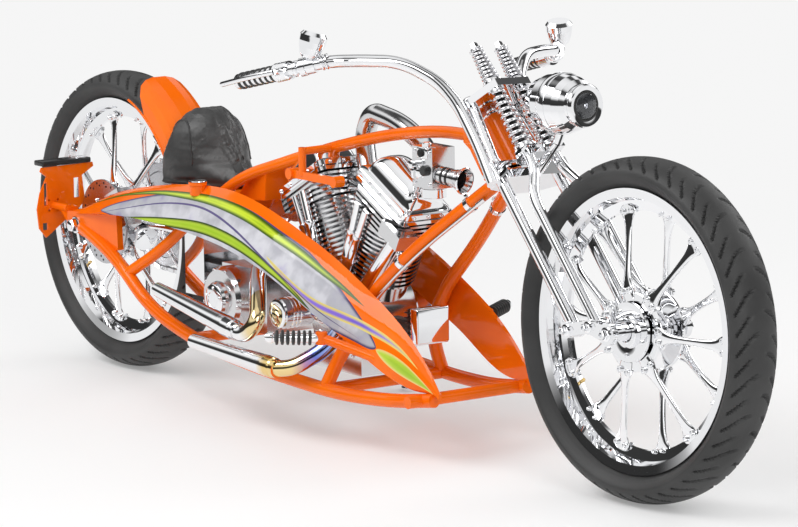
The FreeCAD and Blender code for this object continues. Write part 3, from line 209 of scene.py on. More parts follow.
class Nodes:
    """A node tree being built: adds nodes, sets their values and links them."""

    def __init__(self, tree: Tree) -> None:
        """Starts on a tree."""
        self.tree = tree

    def add(self, kind: str, **values: object) -> Node:
        """Adds one node.

        Args:
            kind: the node's type name.
            values: its properties, or its inputs by name with spaces as underscores.

        Returns:
            The node.
        """
        node = self.tree.nodes.new(kind)
        self.set(node, **values)
        return node

    def set(self, node: Node, **values: object) -> None:
        """Sets a node's properties, or its inputs by name with spaces as underscores."""
        for key, value in values.items():
            if hasattr(node, key):
                setattr(node, key, value)
            else:
                self.feed(node.inputs[key.replace("_", " ")], value)

    def feed(self, socket: Socket, value: object) -> None:
        """Links a socket to another, or sets its value."""
        if isinstance(value, Socket):
            self.tree.links.new(value, socket)
        else:
            socket.default_value = value

    def math(self, operation: str, *inputs: object, clamp: bool = False) -> Socket:
        """A Math node on sockets or numbers.

        Returns:
            Its output socket.
        """
        node = self.add("ShaderNodeMath", operation=operation, use_clamp=clamp)
        for socket, value in zip(node.inputs, inputs):
            self.feed(socket, value)
        return node.outputs[0]

    def vector(self, operation: str, *inputs: object) -> Node:
        """A Vector Math node on sockets or vectors."""
        node = self.add("ShaderNodeVectorMath", operation=operation)
        for socket, value in zip(node.inputs, inputs):
            self.feed(socket, value)
        return node

    def noise(self, spot: Socket, scale: float, detail: float) -> Socket:
        """Noise at a point."""
        return self.add("ShaderNodeTexNoise", Vector=spot, Scale=scale, Detail=detail).outputs["Fac"]

    def mix(self, factor: object, low: object, high: object) -> Socket:
        """A colour between two.

        Returns:
            The mixed colour's socket.
        """
        node = self.add("ShaderNodeMix", data_type="RGBA")
        for key, value in ((0, factor), (6, low), (7, high)):
            self.feed(node.inputs[key], value)
        return node.outputs[2]

    def ramp(self, value: object, stops: Sequence[tuple[float, Colour]],
             smooth: bool = False) -> Socket:
        """A colour ramp.

        Args:
            value: what runs along the ramp.
            stops: places from 0 to 1 and their colours.
            smooth: whether it eases between stops.

        Returns:
            The colour's socket.
        """
        node = self.add("ShaderNodeValToRGB")
        elements = node.color_ramp.elements
        if smooth:
            node.color_ramp.interpolation = "EASE"
        while len(elements) < len(stops):
            elements.new(0.5)
        for element, (at, colour) in zip(elements, stops):
            element.position = at
            element.color = colour
        self.feed(node.inputs[0], value)
        return node.outputs[0]


def start_group(name: str, kind: str, inputs: dict[str, str],
                outputs: dict[str, str]) -> tuple[Nodes, Node, Node]:
    """A node group with its sockets.

    Args:
        name: the group's name.
        kind: the tree's type.
        inputs: what goes in, each with its socket's kind.
        outputs: what comes out, in the same form.

    Returns:
        Its tree, its input node and its output node.
    """
    tree = bpy.data.node_groups.new(name, kind)
    for way, sockets in (("INPUT", inputs), ("OUTPUT", outputs)):
        for socket, form in sockets.items():
            tree.interface.new_socket(socket, in_out=way, socket_type="NodeSocket" + form)
    nodes = Nodes(tree)
    return nodes, nodes.add("NodeGroupInput"), nodes.add("NodeGroupOutput")


def grey(level: float) -> Colour:
    """A neutral colour."""
    return (level, level, level, 1.0)


class Finish(Enum):
    """The finishes on the machine."""

    CHROME = "bright_chrome"
    POLISHED = "polished_alloy"
    SPRING = "spring_steel"
    ORANGE = "orange_lacquer"
    PODS = "airbrushed_lacquer"
    TYRE = "tyre_rubber"
    RUBBER = "black_rubber"
    LEATHER = "black_leather"
    BLACK = "black_satin"
    TINTED = "heat_tinted_pipe"
    BRASS = "valve_brass"
    DISC = "brushed_disc"
    DARK = "deep_black"
    GLASS = "lamp_glass"
    RED = "red_lens"


@dataclass(frozen=True)
class Metal:
    """A bare or plated metal."""

    name: Finish
    colour: Colour
    roughness: float
    smear: float
    grain: float = 0.0


@dataclass(frozen=True)
class Ribbon:
    """A painted wave along a pod: its middle swings between the pod's lower edge, 0, and its ridge, 1."""

    middle: float
    swing: float
    turns: float
    phase: float
    half: float
    start: float
    end: float
    colours: tuple[tuple[float, Colour], ...]
    edge: Colour
    grain: float = 5.0


class Paintshop:
    """Makes every material once and gives it out."""

    METALS = (
        Metal(Finish.CHROME, (0.88, 0.885, 0.90, 1), 0.035, 0.05),
        Metal(Finish.POLISHED, (0.70, 0.70, 0.71, 1), 0.13, 0.12, 0.04),
        Metal(Finish.SPRING, (0.78, 0.78, 0.80, 1), 0.09, 0.10, 0.02),
        Metal(Finish.BRASS, (0.78, 0.56, 0.24, 1), 0.18, 0.10, 0.05),
        Metal(Finish.DISC, (0.56, 0.56, 0.58, 1), 0.26, 0.10, 0.10),
    )
    # The pod's ridge and lower edge: place along in metres from the rear axle, and the two heights
    POD_EDGES = (
        (-0.076, 0.402, 0.388), (0.080, 0.441, 0.400), (0.250, 0.487, 0.416), (0.480, 0.521, 0.418),
        (0.700, 0.524, 0.403), (0.930, 0.472, 0.353), (1.115, 0.411, 0.282), (1.226, 0.362, 0.237),
        (1.326, 0.312, 0.184), (1.420, 0.246, 0.158), (1.494, 0.166, 0.144),
    )
    # A height over every pod edge, in metres, that scales them to a curve from 0 to 1
    POD_HIGH = 0.6
    # The share of the way up a pod from which its ridge stays plain orange
    PLAIN_FROM = 0.86
    # The height between the two silencers, in metres
    PIPES_APART = 0.2
    # Each silencer's collar on the machine's own axes, the way out of it, and how fast its tints follow
    COLLARS = (
        ((1.012, -0.237, 0.163), (1, 0.2, 0.1), 2.6), ((0.850, -0.240, 0.228), (1, 0, -0.1), 2.9),
    )
    SILVER = (
        (0.2, (0.30, 0.28, 0.42, 1)), (0.42, (0.42, 0.42, 0.46, 1)), (0.60, (0.60, 0.60, 0.64, 1)),
        (0.80, (0.36, 0.31, 0.54, 1)),
    )
    DEEP_LIME = (
        (0.25, (0.30, 0.50, 0.02, 1)), (0.6, (0.56, 0.70, 0.04, 1)), (0.85, (0.20, 0.38, 0.01, 1)),
    )
    LIME = ((0.3, (0.52, 0.66, 0.08, 1)), (0.8, (0.28, 0.48, 0.02, 1)))
    VIOLET = ((0.3, (0.10, 0.06, 0.52, 1)), (0.8, (0.28, 0.18, 0.72, 1)))
    MAUVE = ((0.3, (0.20, 0.16, 0.40, 1)), (0.8, (0.42, 0.36, 0.66, 1)))
    RIBBONS = (
        Ribbon(0.36, 0.06, 0.85, 2.7, 0.60, 0.14, 0.88, SILVER, (0.07, 0.06, 0.14, 1), 16),
        Ribbon(0.80, 0.05, 1.1, 0.4, 0.10, 0.02, 0.84, DEEP_LIME, (0.05, 0.10, 0.01, 1), 4),
        Ribbon(0.12, 0.14, 1.25, 3.9, 0.12, 0.16, 0.74, LIME, (0.04, 0.07, 0.02, 1), 4),
        Ribbon(0.46, 0.24, 2.2, 1.2, 0.085, 0.62, 0.96, VIOLET, (0.72, 0.60, 0.16, 1), 6),
        Ribbon(0.40, 0.22, 1.5, 4.1, 0.026, 0.10, 0.86, MAUVE, (0.10, 0.08, 0.20, 1), 6),
        Ribbon(0.30, 0.10, 0.9, 2.2, 0.16, 0.88, 0.99, LIME, (0.70, 0.60, 0.20, 1), 4),
    )

    def __init__(self, stance: Stance) -> None:
        """Builds the shared groups and the materials.

        Args:
            stance: the way the machine stands, for patterns that follow its own axes.
        """
        self.stance = stance
        self.made: dict[Finish, Material] = {}
        self.smudges = self.smudge_group()
        for metal in self.METALS:
            self.made[metal.name] = self.metal(metal)
        self.made[Finish.ORANGE] = self.lacquer()
        self.made[Finish.PODS] = self.airbrushed()
        self.made[Finish.TYRE] = self.rubber(Finish.TYRE, 0.030, 0.56)
        self.made[Finish.RUBBER] = self.rubber(Finish.RUBBER, 0.016, 0.42)
        self.made[Finish.LEATHER] = self.leather()
        self.made[Finish.BLACK] = self.satin_black(Finish.BLACK, 0.014, 0.30)
        # The deep black is painted shade where it fills holes and the stack's throat
        self.made[Finish.DARK] = self.satin_black(Finish.DARK, 0.004, 0.60)
        self.made[Finish.TINTED] = self.tinted()
        self.made[Finish.GLASS] = self.glass()
        self.made[Finish.RED] = self.red_lens()

    def get(self, finish: Finish) -> Material:
        """The material of a finish."""
        return self.made[finish]

    def start(self, name: str) -> tuple[Nodes, Node, Material]:
        """A new material.

        Args:
            name: its name.

        Returns:
            Its tree, its Principled shader and the material.
        """
        material = bpy.data.materials.new(name)
        material.use_nodes = True
        nodes = Nodes(material.node_tree)
        return nodes, material.node_tree.nodes["Principled BSDF"], material

    def place(self, nodes: Nodes) -> Socket:
        """The point on the piece that a pattern follows."""
        return nodes.add("ShaderNodeTexCoord").outputs["Object"]

    def upright(self, nodes: Nodes) -> Socket:
        """The point in metres on the machine's own axes, for pieces on the frame.

        Args:
            nodes: the material's tree.

        Returns:
            The turned and moved point's socket.
        """
        back = self.stance.matrix(False).inverted()
        metres = Matrix.Scale(MM, 4) @ back
        return nodes.add("ShaderNodeMapping", Vector=self.place(nodes), Location=metres.to_translation(),
                         Rotation=metres.to_euler("XYZ")).outputs[0]

    def smudge_group(self) -> Tree:
        """A group that varies a roughness with wiping marks and fine specks.

        Returns:
            The group, with Vector, Base and Amount going in and Roughness and Height coming out.
        """
        nodes, into, out = start_group("wiping_marks", "ShaderNodeTree",
                                       {"Vector": "Vector", "Base": "Float", "Amount": "Float"},
                                       {"Roughness": "Float", "Height": "Float"})
        broad = nodes.noise(into.outputs["Vector"], 9.0, 4.0)
        fine = nodes.noise(into.outputs["Vector"], 420.0, 2.0)
        spread = nodes.math("MULTIPLY", nodes.math("SUBTRACT", broad, 0.42), into.outputs["Amount"])
        rough = nodes.math("MAXIMUM", nodes.math("ADD", into.outputs["Base"], spread), 0.02)
        nodes.set(out, Roughness=rough, Height=fine)
        return nodes.tree

    def smudge(self, nodes: Nodes, shader: Node, base: float, amount: float, bump: float) -> None:
        """Gives a shader its varied roughness and faint bump.

        Args:
            nodes: the material's tree.
            shader: its Principled shader.
            base: the roughness it varies about.
            amount: how far it varies.
            bump: the fine bump's strength, or 0.
        """
        group = nodes.add("ShaderNodeGroup", node_tree=self.smudges)
        nodes.set(group, Vector=self.place(nodes), Base=base, Amount=amount)
        nodes.set(shader, Roughness=group.outputs["Roughness"])
        if bump:
            node = nodes.add("ShaderNodeBump", Strength=bump, Distance=0.0004, Height=group.outputs["Height"])
            nodes.set(shader, Normal=node.outputs["Normal"])

    def metal(self, metal: Metal) -> Material:
        """A metal's material."""
        nodes, shader, material = self.start(metal.name.value)
        nodes.set(shader, Base_Color=metal.colour, Metallic=1.0)
        self.smudge(nodes, shader, metal.roughness, metal.smear, metal.grain)
        return material

    def orange(self, nodes: Nodes) -> Socket:
        """The orange pearl's colour."""
        pearl = nodes.noise(self.place(nodes), 6.0, 3.0)
        return nodes.ramp(pearl, ((0.3, (0.84, 0.128, 0.002, 1)), (0.7, (0.94, 0.170, 0.004, 1))))

    @staticmethod
    def clear_coat(nodes: Nodes, shader: Node) -> None:
        """Gives a shader its thin clear coat, with no second sheen under it."""
        nodes.set(shader, Specular_IOR_Level=0.0, Coat_Weight=0.75, Coat_IOR=1.42, Coat_Roughness=0.03)

    def lacquer(self) -> Material:
        """Orange pearl under a clear coat."""
        nodes, shader, material = self.start(Finish.ORANGE.value)
        nodes.set(shader, Base_Color=self.orange(nodes))
        self.clear_coat(nodes, shader)
        self.smudge(nodes, shader, 0.42, 0.1, 0.0)
        return material

    def edge_curve(self, nodes: Nodes, along: Socket, column: int) -> Socket:
        """The height of one of the pod's edges, in metres, at a place from 0 to 1 along it.

        Args:
            nodes: the material's tree.
            along: the place along the pod.
            column: 1 for the ridge, 2 for the lower edge.

        Returns:
            The height's socket.
        """
        node = nodes.add("ShaderNodeFloatCurve", Value=along)
        curve = node.mapping.curves[0]
        first, last = self.POD_EDGES[0][0], self.POD_EDGES[-1][0]
        spots = [((row[0] - first) / (last - first), row[column] / self.POD_HIGH) for row in self.POD_EDGES]
        while len(curve.points) < len(spots):
            curve.points.new(0.5, 0.5)
        for point, spot in zip(curve.points, spots):
            point.location = spot
        node.mapping.update()
        return nodes.math("MULTIPLY", node.outputs[0], self.POD_HIGH)

    def ramp_up(self, nodes: Nodes, value: object, low: float, high: float) -> Socket:
        """A smooth step from 0 at low to 1 at high."""
        return nodes.add("ShaderNodeMapRange", interpolation_type="SMOOTHSTEP", Value=value, From_Min=low,
                         From_Max=high).outputs[0]

    def airbrushed(self) -> Material:
        """Waves of lime, silver and violet over the orange, under the same clear coat."""
        nodes, shader, material = self.start(Finish.PODS.value)
        parts = nodes.add("ShaderNodeSeparateXYZ", Vector=self.upright(nodes))
        first, last = self.POD_EDGES[0][0], self.POD_EDGES[-1][0]
        ahead = nodes.math("SUBTRACT", parts.outputs["X"], first)
        along = nodes.math("DIVIDE", ahead, last - first, clamp=True)
        top = self.edge_curve(nodes, along, 1)
        low = self.edge_curve(nodes, along, 2)
        across = nodes.math("DIVIDE", nodes.math("SUBTRACT", parts.outputs["Z"], low),
                            nodes.math("MAXIMUM", nodes.math("SUBTRACT", top, low), 0.01))
        colour = self.orange(nodes)
        for ribbon in self.RIBBONS:
            colour = self.ribbon(nodes, ribbon, along, across, colour)
        # Only the outer faces are airbrushed
        normal = nodes.add("ShaderNodeNewGeometry").outputs["Normal"]
        facing = nodes.add("ShaderNodeSeparateXYZ", Vector=normal)
        outer = nodes.math("MULTIPLY", facing.outputs["Y"], nodes.math("SIGN", parts.outputs["Y"]))
        colour = nodes.mix(self.ramp_up(nodes, outer, 0, 0.12), self.orange(nodes), colour)
        nodes.set(shader, Base_Color=colour)
        self.clear_coat(nodes, shader)
        self.smudge(nodes, shader, 0.30, 0.1, 0.0)
        return material

    def ribbon(self, nodes: Nodes, ribbon: Ribbon, along: Socket, across: Socket,
               under: Socket) -> Socket:
        """Lays one wave over the paint under it.

        Args:
            nodes: the material's tree.
            ribbon: the wave.
            along: the place along the pod.
            across: the place across it.
            under: the colour so far.

        Returns:
            The new colour's socket.
        """
        angle = nodes.math("ADD", nodes.math("MULTIPLY", along, 2 * math.pi * ribbon.turns), ribbon.phase)
        swung = nodes.math("MULTIPLY", nodes.math("SINE", angle), ribbon.swing)
        off = nodes.math("ABSOLUTE", nodes.math("SUBTRACT", across, nodes.math("ADD", swung, ribbon.middle)))
        begun = nodes.math("SUBTRACT", along, ribbon.start)
        run = nodes.math("DIVIDE", begun, ribbon.end - ribbon.start, clamp=True)
        taper = nodes.math("POWER", nodes.math("SINE", nodes.math("MULTIPLY", run, math.pi)), 0.55)
        inside = nodes.math("SUBTRACT", nodes.math("MULTIPLY", taper, ribbon.half), off)
        inside = nodes.math("MINIMUM", inside, nodes.math("SUBTRACT", self.PLAIN_FROM, across))
        shade = nodes.noise(self.place(nodes), ribbon.grain, 3.0)
        depth = nodes.math("MULTIPLY", nodes.math("DIVIDE", inside, ribbon.half), 0.3)
        tone = nodes.math("ADD", nodes.math("MULTIPLY", shade, 0.7), depth)
        body = nodes.ramp(tone, ribbon.colours, smooth=True)
        body = nodes.mix(self.ramp_up(nodes, inside, 0.075, 0.018), body, ribbon.edge)
        return nodes.mix(self.ramp_up(nodes, inside, 0, 0.012), under, body)

    def rubber(self, finish: Finish, level: float, roughness: float) -> Material:
        """Black rubber with a dusty bloom.

        Args:
            finish: which rubber it is.
            level: how dark it is.
            roughness: how dull it is.

        Returns:
            The material.
        """
        nodes, shader, material = self.start(finish.value)
        spot = self.place(nodes)
        bloom = nodes.noise(spot, 7.0, 5.0)
        colour = nodes.ramp(bloom, ((0.35, grey(level * 0.8)), (0.75, grey(level * 1.6))))
        nodes.set(shader, Base_Color=colour)
        self.smudge(nodes, shader, roughness, 0.15, 0.25)
        return material

    def leather(self) -> Material:
        """Soft black leather with a fine pebble grain."""
        nodes, shader, material = self.start(Finish.LEATHER.value)
        spot = self.place(nodes)
        pebble = nodes.add("ShaderNodeTexVoronoi", Vector=spot, Scale=620.0, feature="DISTANCE_TO_EDGE")
        fold = nodes.noise(spot, 60.0, 4.0)
        pebbled = nodes.math("MULTIPLY", pebble.outputs["Distance"], 1.2)
        height = nodes.math("ADD", pebbled, fold)
        bump = nodes.add("ShaderNodeBump", Strength=0.35, Distance=0.0006, Height=height)
        worn = nodes.noise(spot, 12.0, 3.0)
        nodes.set(shader, Normal=bump.outputs["Normal"],
                  Base_Color=nodes.ramp(worn, ((0.3, grey(0.026)), (0.8, grey(0.052)))),
                  Roughness=nodes.math("ADD", nodes.math("MULTIPLY", worn, 0.2), 0.24))
        return material

    def satin_black(self, finish: Finish, level: float, roughness: float) -> Material:
        """A black paint, or the deep black painted as shade in holes and hollows."""
        nodes, shader, material = self.start(finish.value)
        nodes.set(shader, Base_Color=grey(level))
        self.smudge(nodes, shader, roughness, 0.12, 0.05)
        return material

    def tinted(self) -> Material:
        """Chrome pipes that heat has turned gold and blue before their silencers."""
        nodes, shader, material = self.start(Finish.TINTED.value)
        spot = self.upright(nodes)
        waves = nodes.noise(spot, 14.0, 2.0)
        tints = []
        for collar, way, reach in self.COLLARS:
            away = nodes.vector("DISTANCE", spot, collar).outputs["Value"]
            offset = nodes.vector("SUBTRACT", spot, collar).outputs[0]
            side = nodes.vector("DOT_PRODUCT", offset, way).outputs["Value"]
            ahead = self.ramp_up(nodes, side, -0.001, 0.001)
            far = nodes.math("MULTIPLY", nodes.math("MULTIPLY", away, reach), ahead)
            near = nodes.math("MULTIPLY", nodes.math("MULTIPLY", away, -4), nodes.math("SUBTRACT", 1, ahead))
            swing = nodes.math("MULTIPLY", nodes.math("SUBTRACT", waves, 0.5), 0.22)
            tints.append(nodes.math("ADD", nodes.math("ADD", nodes.math("ADD", far, near), swing), 0.25))
        parts = nodes.add("ShaderNodeSeparateXYZ", Vector=spot)
        ahead_of = self.ramp_up(nodes, parts.outputs["X"], 0.972, 0.978)
        apart = self.PIPES_APART
        below = self.ramp_up(nodes, parts.outputs["Z"], apart + 0.003, apart - 0.003)
        front = nodes.math("MAXIMUM", ahead_of, below)
        chrome = self.METALS[0].colour
        blued = nodes.ramp(tints[0], ((0, chrome), (0.12, (0.84, 0.62, 0.26, 1)),
                                      (0.34, (0.86, 0.68, 0.34, 1)), (0.43, (0.52, 0.28, 0.42, 1)),
                                      (0.52, (0.16, 0.20, 0.62, 1)), (0.62, (0.30, 0.42, 0.78, 1)),
                                      (0.72, (0.80, 0.60, 0.36, 1)), (0.88, (0.86, 0.80, 0.66, 1)),
                                      (1, chrome)))
        gilt = nodes.ramp(tints[1], ((0, chrome), (0.34, chrome), (0.46, (0.82, 0.66, 0.36, 1)),
                                     (0.72, (0.70, 0.54, 0.28, 1)), (0.92, (0.84, 0.74, 0.52, 1)),
                                     (1, (0.86, 0.82, 0.72, 1))))
        nodes.set(shader, Base_Color=nodes.mix(front, gilt, blued), Metallic=1.0)
        self.smudge(nodes, shader, 0.06, 0.08, 0.0)
        return material

    def glass(self) -> Material:
        """The lamp's clear glass."""
        nodes, shader, material = self.start(Finish.GLASS.value)
        nodes.set(shader, Base_Color=(0.94, 0.96, 1, 1), Transmission_Weight=1.0, IOR=1.45)
        self.smudge(nodes, shader, 0.03, 0.03, 0.0)
        return material

    def red_lens(self) -> Material:
        """The dark red strip lamp."""
        nodes, shader, material = self.start(Finish.RED.value)
        nodes.set(shader, Base_Color=(0.10, 0.006, 0.008, 1), Coat_Weight=0.6)
        self.smudge(nodes, shader, 0.12, 0.05, 0.0)
        return material


@dataclass(frozen=True)
class SoftBox:
    """One soft box that faces the middle: where it hangs and its size, in metres, and its watts."""

    name: str
    spot: Point
    size: tuple[float, float]
    power: float

    def build(self, middle: Vector) -> None:
        """Adds the light.

        Args:
            middle: the point that it faces, in metres.
        """
        data = bpy.data.lights.new(self.name, "AREA")
        data.shape = "RECTANGLE"
        data.size, data.size_y = self.size
        data.energy = self.power
        light = link_object(self.name, data)
        light.location = self.spot
        light.rotation_euler = (middle - Vector(self.spot)).to_track_quat("-Z", "Y").to_euler()


class Studio:
    """The pale floor, the soft boxes and the world."""

    BOXES = (
        SoftBox("key_box", (-0.8, -2.8, 4), (4.6, 1.6), 120),
        SoftBox("front_box", (4.6, -1, 2.6), (1.6, 2.8), 55),
        SoftBox("left_box", (0.5, 4.4, 2.6), (4, 1.4), 60),
    )
    # The world's greys that metal reflects, from straight down, 0, to straight up, 1
    BANDS = (
        (0, 0.92), (0.50, 0.92), (0.508, 0.45), (0.525, 0.03), (0.66, 0.05), (0.70, 0.55), (0.73, 1),
        (0.80, 0.95), (0.83, 0.10), (0.90, 0.05), (0.94, 0.80), (1, 1),
    )
    # The plain level that lights the machine
    LIGHT_LEVEL = 0.62
    FLOOR_REACH = 60.0
    FLOOR_LEVEL = 0.95
    # The share of plain white under the machine, and the distances in metres over which it grows to 1
    WHITE_SHARE = 0.22
    WHITE_FROM, WHITE_TO = 0.6, 3.0
    WHITE_LEVEL = 0.92

    def build(self, middle: Vector) -> None:
        """Adds the floor, the lights and the world.

        Args:
            middle: the point that the lights face, in metres.
        """
        self.floor()
        for box in self.BOXES:
            box.build(middle)
        self.world()
        bpy.context.scene.view_settings.view_transform = "Standard"

    @staticmethod
    def seen(nodes: Nodes) -> Socket:
        """1 for what the eye, metal and glass see, and 0 for what lights the object."""
        path = nodes.add("ShaderNodeLightPath")
        looks = nodes.math("MAXIMUM", path.outputs["Is Camera Ray"], path.outputs["Is Glossy Ray"])
        return nodes.math("MAXIMUM", looks, path.outputs["Is Transmission Ray"])

    def floor(self) -> None:
        """A wide pale floor that keeps the shadow and turns plain white far out."""
        mesh = bpy.data.meshes.new("studio_floor")
        reach = self.FLOOR_REACH
        corners = [(-reach, -reach, 0), (reach, -reach, 0), (reach, reach, 0), (-reach, reach, 0)]
        mesh.from_pydata(corners, [], [(0, 1, 2, 3)])
        floor = link_object("studio_floor", mesh)
        material = bpy.data.materials.new("pale_floor")
        material.use_nodes = True
        nodes = Nodes(material.node_tree)
        shader = material.node_tree.nodes["Principled BSDF"]
        nodes.set(shader, Base_Color=grey(self.FLOOR_LEVEL), Roughness=0.5, Specular_IOR_Level=0.15)
        far = nodes.vector("LENGTH", nodes.add("ShaderNodeTexCoord").outputs["Object"])
        white = nodes.add("ShaderNodeMapRange", interpolation_type="SMOOTHSTEP", Value=far.outputs["Value"],
                          From_Min=self.WHITE_FROM, From_Max=self.WHITE_TO, To_Min=self.WHITE_SHARE)
        glow = nodes.add("ShaderNodeEmission", Color=grey(self.WHITE_LEVEL), Strength=1.0)
        blend = nodes.add("ShaderNodeMixShader")
        share = nodes.math("MULTIPLY", white.outputs[0], self.seen(nodes))
        for socket, value in zip(blend.inputs, (share, shader.outputs[0], glow.outputs[0])):
            nodes.feed(socket, value)
        nodes.set(material.node_tree.nodes["Material Output"], Surface=blend.outputs[0])
        mesh.materials.append(material)

    def world(self) -> None:
        """A banded studio for the eye, metal and glass, and a plain level for the light."""
        world = bpy.data.worlds.new("studio")
        bpy.context.scene.world = world
        world.use_nodes = True
        world.node_tree.nodes.clear()
        nodes = Nodes(world.node_tree)
        direction = nodes.add("ShaderNodeTexCoord").outputs["Generated"]
        parts = nodes.add("ShaderNodeSeparateXYZ", Vector=direction)
        height = nodes.math("ADD", nodes.math("MULTIPLY", parts.outputs["Z"], 0.5), 0.5)
        bands = nodes.ramp(height, [(at, grey(level)) for at, level in self.BANDS])
        shade = nodes.mix(self.seen(nodes), grey(self.LIGHT_LEVEL), bands)
        sky = nodes.add("ShaderNodeBackground", Color=shade, Strength=1.0)
        nodes.add("ShaderNodeOutputWorld", Surface=sky.outputs[0])


def flow(points: Sequence[Vector], per: int = 8) -> list[Vector]:
    """A smooth path through the points.

    Args:
        points: what it goes through.
        per: how many steps each span gets.

    Returns:
        The path's points, with both ends.
    """
    spots = [points[0] * 2 - points[1], *points, points[-1] * 2 - points[-2]]
    path = []
    for a, b, c, d in zip(spots, spots[1:], spots[2:], spots[3:]):
        for k in range(per):
            t = k / per
            path.append(0.5 * ((2 * b) + (c - a) * t + (2 * a - 5 * b + 4 * c - d) * t * t
                               + (3 * b - a - 3 * c + d) * t ** 3))
    return path + [points[-1].copy()]


def sideways(side: float) -> Vector:
    """The way to the left, or to the right where side is -1."""
    return Vector((0, side, 0))


def outward(turn: float) -> Vector:
    """The way out from an axle at an angle round it."""
    return Vector((math.cos(turn), 0, math.sin(turn)))


def round_axle(turn: float) -> Vector:
    """The way round an axle at an angle round it."""
    return Vector((-math.sin(turn), 0, math.cos(turn)))


def clamped(value: float) -> float:
    """The value kept from 0 to 1."""
    return min(1.0, max(0, value))


def skin(rows: int, sides: int, ring: bool = False) -> list[tuple[int, ...]]:
    """The faces between rows of points that each go round once.

    Args:
        rows: how many rows there are.
        sides: how many points a row has.
        ring: whether the last row joins the first.

    Returns:
        The corners' indices, four for each face.
    """
    faces = []
    for i in range(rows if ring else rows - 1):
        j = (i + 1) % rows
        for k in range(sides):
            n = (k + 1) % sides
            faces.append((i * sides + k, i * sides + n, j * sides + n, j * sides + k))
    return faces


def capped(rows: int, sides: int) -> list[tuple[int, ...]]:
    """The same faces, with the first and last rows filled."""
    last = (rows - 1) * sides
    return skin(rows, sides) + [tuple(range(sides)), tuple(last + k for k in range(sides))]


def mend(mesh: Mesh, merge: float = 0.0, place: Matrix | None = None) -> None:
    """Joins a mesh's doubled points, turns its faces outward and moves it.

    Args:
        mesh: the mesh.
        merge: how near two points are to be one, or 0 to join none.
        place: the move, if there is one.
    """
    form = bmesh.new()
    form.from_mesh(mesh)
    if merge:
        bmesh.ops.remove_doubles(form, verts=form.verts, dist=merge)
    bmesh.ops.recalc_face_normals(form, faces=form.faces)
    if place:
        bmesh.ops.transform(form, matrix=place, verts=form.verts)
    form.to_mesh(mesh)
    form.free()


def smooth(mesh: Mesh, sharp_deg: float = SHARP_DEG) -> None:
    """Shades a mesh smooth but for edges past an angle."""
    mesh.shade_smooth()
    mesh.set_sharp_from_angle(angle=math.radians(sharp_deg))


def square_to(axis: Vector) -> tuple[Vector, Vector]:
    """Two directions square to an axis and to each other."""
    along = axis.normalized()
    other = UP if abs(along.z) < UPRIGHT_PAST else AHEAD
    first = along.cross(other).normalized()
    return first, along.cross(first)


